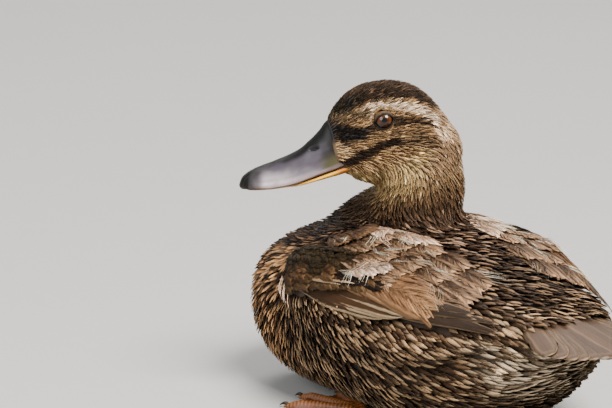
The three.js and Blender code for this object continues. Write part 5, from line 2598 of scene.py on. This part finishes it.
@dataclass(frozen=True)
class PaintedFinish:
    """The finish of a bare part, which reads its colour from the mesh and breaks it with fine grain.

    Attributes:
        name: the material's name.
        scale: how fine the grain is.
        strength: how much it changes the colour.
        roughness: the mean roughness.
        relief: height of the grain, in metres.
        gloss: how much light it throws back.
        stretch: how the grain is packed along each of the piece's axes.
        coat: weight, roughness and refraction of a clear coat.
    """

    name: str
    scale: float
    strength: float
    roughness: float
    relief: float
    gloss: float
    stretch: tuple[float, float, float] = (1.0, 1.0, 1.0)
    coat: tuple[float, float, float] = (0.0, 0.03, 1.5)

    def material(self) -> Material:
        """The material, made once.

        Returns:
            The material.
        """
        if self.name in bpy.data.materials:
            return bpy.data.materials[self.name]
        material, desk, shader = new_material(self.name)
        grain = desk.group("Fine grain", {
            "Scale": self.scale, "Strength": self.strength, "Stretch": self.stretch})
        weight, coat_roughness, refraction = self.coat
        desk.feed(shader, {
            "Base Color": desk.mix(1.0, desk.read("Paint")["Color"], grain["Tone"], "MULTIPLY"),
            "Roughness": desk.blend(grain["Height"], 0.4 * self.roughness, 0.8 * self.roughness),
            "Specular IOR Level": self.gloss, "Coat Weight": weight, "Coat Roughness": coat_roughness,
            "Coat IOR": refraction})
        if self.relief:
            desk.feed(shader, {"Normal": desk.bump(grain["Height"], self.relief)})
        return material


@dataclass(frozen=True)
class FloorFinish:
    """A plain pale studio floor."""

    name: str = "studio floor"
    colour: tuple[int, int, int] = (176, 174, 170)

    def material(self) -> Material:
        """Makes the material.

        Returns:
            The material.
        """
        material, desk, shader = new_material(self.name)
        grain = desk.group("Fine grain", {"Scale": 60.0, "Strength": 0.02})
        colour = desk.mix(1.0, (*linear(self.colour), 1.0), grain["Tone"], "MULTIPLY")
        desk.feed(shader, {"Base Color": colour, "Roughness": 0.8})
        return material


FINE_PLUMAGE = PlumageFinish("fine plumage", slender=3.0, barbs=6.0, streak=0.15, relief=0.1 * MM)
BROAD_PLUMAGE = replace(FINE_PLUMAGE, name="broad plumage", streak=0.2)
WING_COVERTS = PlumageFinish("wing coverts", slender=2.4, barbs=26.0, streak=0.5, relief=0.06 * MM,
                             ragged=0.3, soft=0.95, streaks=3.0)
QUILL_VANES = PlumageFinish("quill vanes", slender=7.0, barbs=60.0, streak=0.4, relief=0.05 * MM,
                            ragged=0.12, soft=0.6, streaks=2.5)
TAIL_VANES = PlumageFinish("tail vanes", slender=5.0, barbs=50.0, streak=0.4, relief=0.05 * MM, gloss=0.15,
                           ragged=0.2, soft=0.7, streaks=2.5)
BILL_HORN = PaintedFinish("bill horn", 1500.0, 0.12, 0.5, 0.1 * MM, 0.14, (1.0, 0.5, 1.6), (0.08, 0.35, 1.5))
CLAW_HORN = replace(BILL_HORN, name="claw horn", roughness=0.35, relief=0.05 * MM)
WET_EYE = PaintedFinish("wet eye", 2600.0, 0.1, 0.3, 0.0, 0.05, coat=(1.0, 0.02, 1.38))
LID_SKIN = PaintedFinish("lid skin", 2400.0, 0.35, 0.55, 0.12 * MM, 0.15)
WEBBED_SKIN = PaintedFinish("webbed skin", 1300.0, 0.3, 0.48, 0.15 * MM, 0.4)


# ---- studio


@dataclass
class Lamp:
    """One soft rectangular light: where it stands round the bird, how high, how big and how strong."""

    name: str
    azimuth: float
    elevation: float
    distance: float
    size: float
    watts: float
    colour: tuple[float, float, float] = (1.0, 1.0, 1.0)

    def place(self, target: Array) -> None:
        """Puts the light in the scene, aimed at the target.

        Args:
            target: what it is aimed at.
        """
        data = bpy.data.lights.new(self.name, "AREA")
        data.shape = "DISK"
        data.size = self.size
        data.energy = self.watts
        data.color = self.colour
        lamp = in_scene(self.name, data)
        lamp.location = target + toward(self.azimuth, self.elevation) * self.distance
        aim(lamp, target)


def toward(azimuth: float, elevation: float) -> Array:
    """The direction from the bird to a place seen at these degrees: 0 ahead of the breast, 90 at its left."""
    a, e = math.radians(azimuth), math.radians(elevation)
    return np.array([math.sin(a) * math.cos(e), -math.cos(a) * math.cos(e), math.sin(e)])


def aim(thing: Piece, target: Array) -> None:
    """Turns a camera or light so that it faces the target."""
    way = Vector(target) - thing.location
    thing.rotation_euler = way.to_track_quat("-Z", "Y").to_euler()


@dataclass
class Studio:
    """Floor, lights and camera."""

    azimuth: float = 148.0
    elevation: float = 13.0
    distance: float = 2.7
    field_width: float = 322.1 * MM
    right_of_eye: float = -41.6 * MM
    above_eye: float = -44.2 * MM
    sensor: float = 36.0
    floor_side: float = 24.0
    sky: float = 0.7
    lamps: tuple[Lamp, ...] = (
        Lamp("key", 176.0, 54.0, 2.2, 1.1, 235.0, (1.0, 0.97, 0.92)),
        Lamp("fill", 100.0, 26.0, 2.8, 2.0, 85.0, (0.95, 0.98, 1.0)),
        Lamp("rim", 330.0, 48.0, 2.4, 1.2, 60.0, (1.0, 0.98, 0.95)),
    )

    def build(self) -> None:
        """Makes the floor, lights, backdrop light and camera."""
        half = self.floor_side / 2.0
        corners = np.array([[-half, -half, 0.0], [half, -half, 0.0], [half, half, 0.0], [-half, half, 0.0]])
        floor = in_scene("floor", mesh_from("floor", corners, np.array([[0, 1, 2, 3]])))
        floor.data.materials.append(FloorFinish().material())
        eye = middle_of("eye_left")
        for lamp in self.lamps:
            lamp.place(np.array([eye[0], eye[1], 0.08]))
        world = bpy.data.worlds.new("studio")
        world.use_nodes = True
        backdrop = world.node_tree.nodes["Background"]
        backdrop.inputs["Color"].default_value = (0.93, 0.95, 1.0, 1.0)
        backdrop.inputs["Strength"].default_value = self.sky
        bpy.context.scene.world = world
        self.place_camera(eye)

    def place_camera(self, eye: Array) -> None:
        """Puts the camera so that the left eye stands up and left of the middle of the view.

        Args:
            eye: the middle of the left eye.
        """
        back = toward(self.azimuth, self.elevation)
        right = unit(np.cross(-back, [0.0, 0.0, 1.0]))
        above = np.cross(right, -back)
        target = eye + right * self.right_of_eye + above * self.above_eye
        data = bpy.data.cameras.new("camera")
        data.sensor_width = self.sensor
        data.lens = self.sensor * self.distance / self.field_width
        data.clip_end = 60.0
        camera = in_scene("camera", data)
        camera.location = target + back * self.distance
        aim(camera, target)
        bpy.context.scene.camera = camera


# ---- the figure


def main() -> None:
    """Builds the pieces in order."""
    logging.basicConfig(level=logging.INFO, format="%(name)s: %(message)s")
    Studio().build()
    stance = Stance()
    markings = Markings(stance)
    hide = Hide(stance, markings)
    hide.build(SkinFinish())
    Plumage(hide, markings, Lie(stance)).build(FINE_PLUMAGE, BROAD_PLUMAGE)
    Wings(hide).build(QUILL_VANES, WING_COVERTS, FINE_PLUMAGE)
    Tail(hide).build(TAIL_VANES)
    Bill(stance).build(BILL_HORN)
    for side in ("left", "right"):
        Eye(side, stance).build(WET_EYE)
        Lids(side, hide).build(LID_SKIN)
        Foot(side, stance).build(WEBBED_SKIN, CLAW_HORN)


if __name__ == "__main__":
    main()
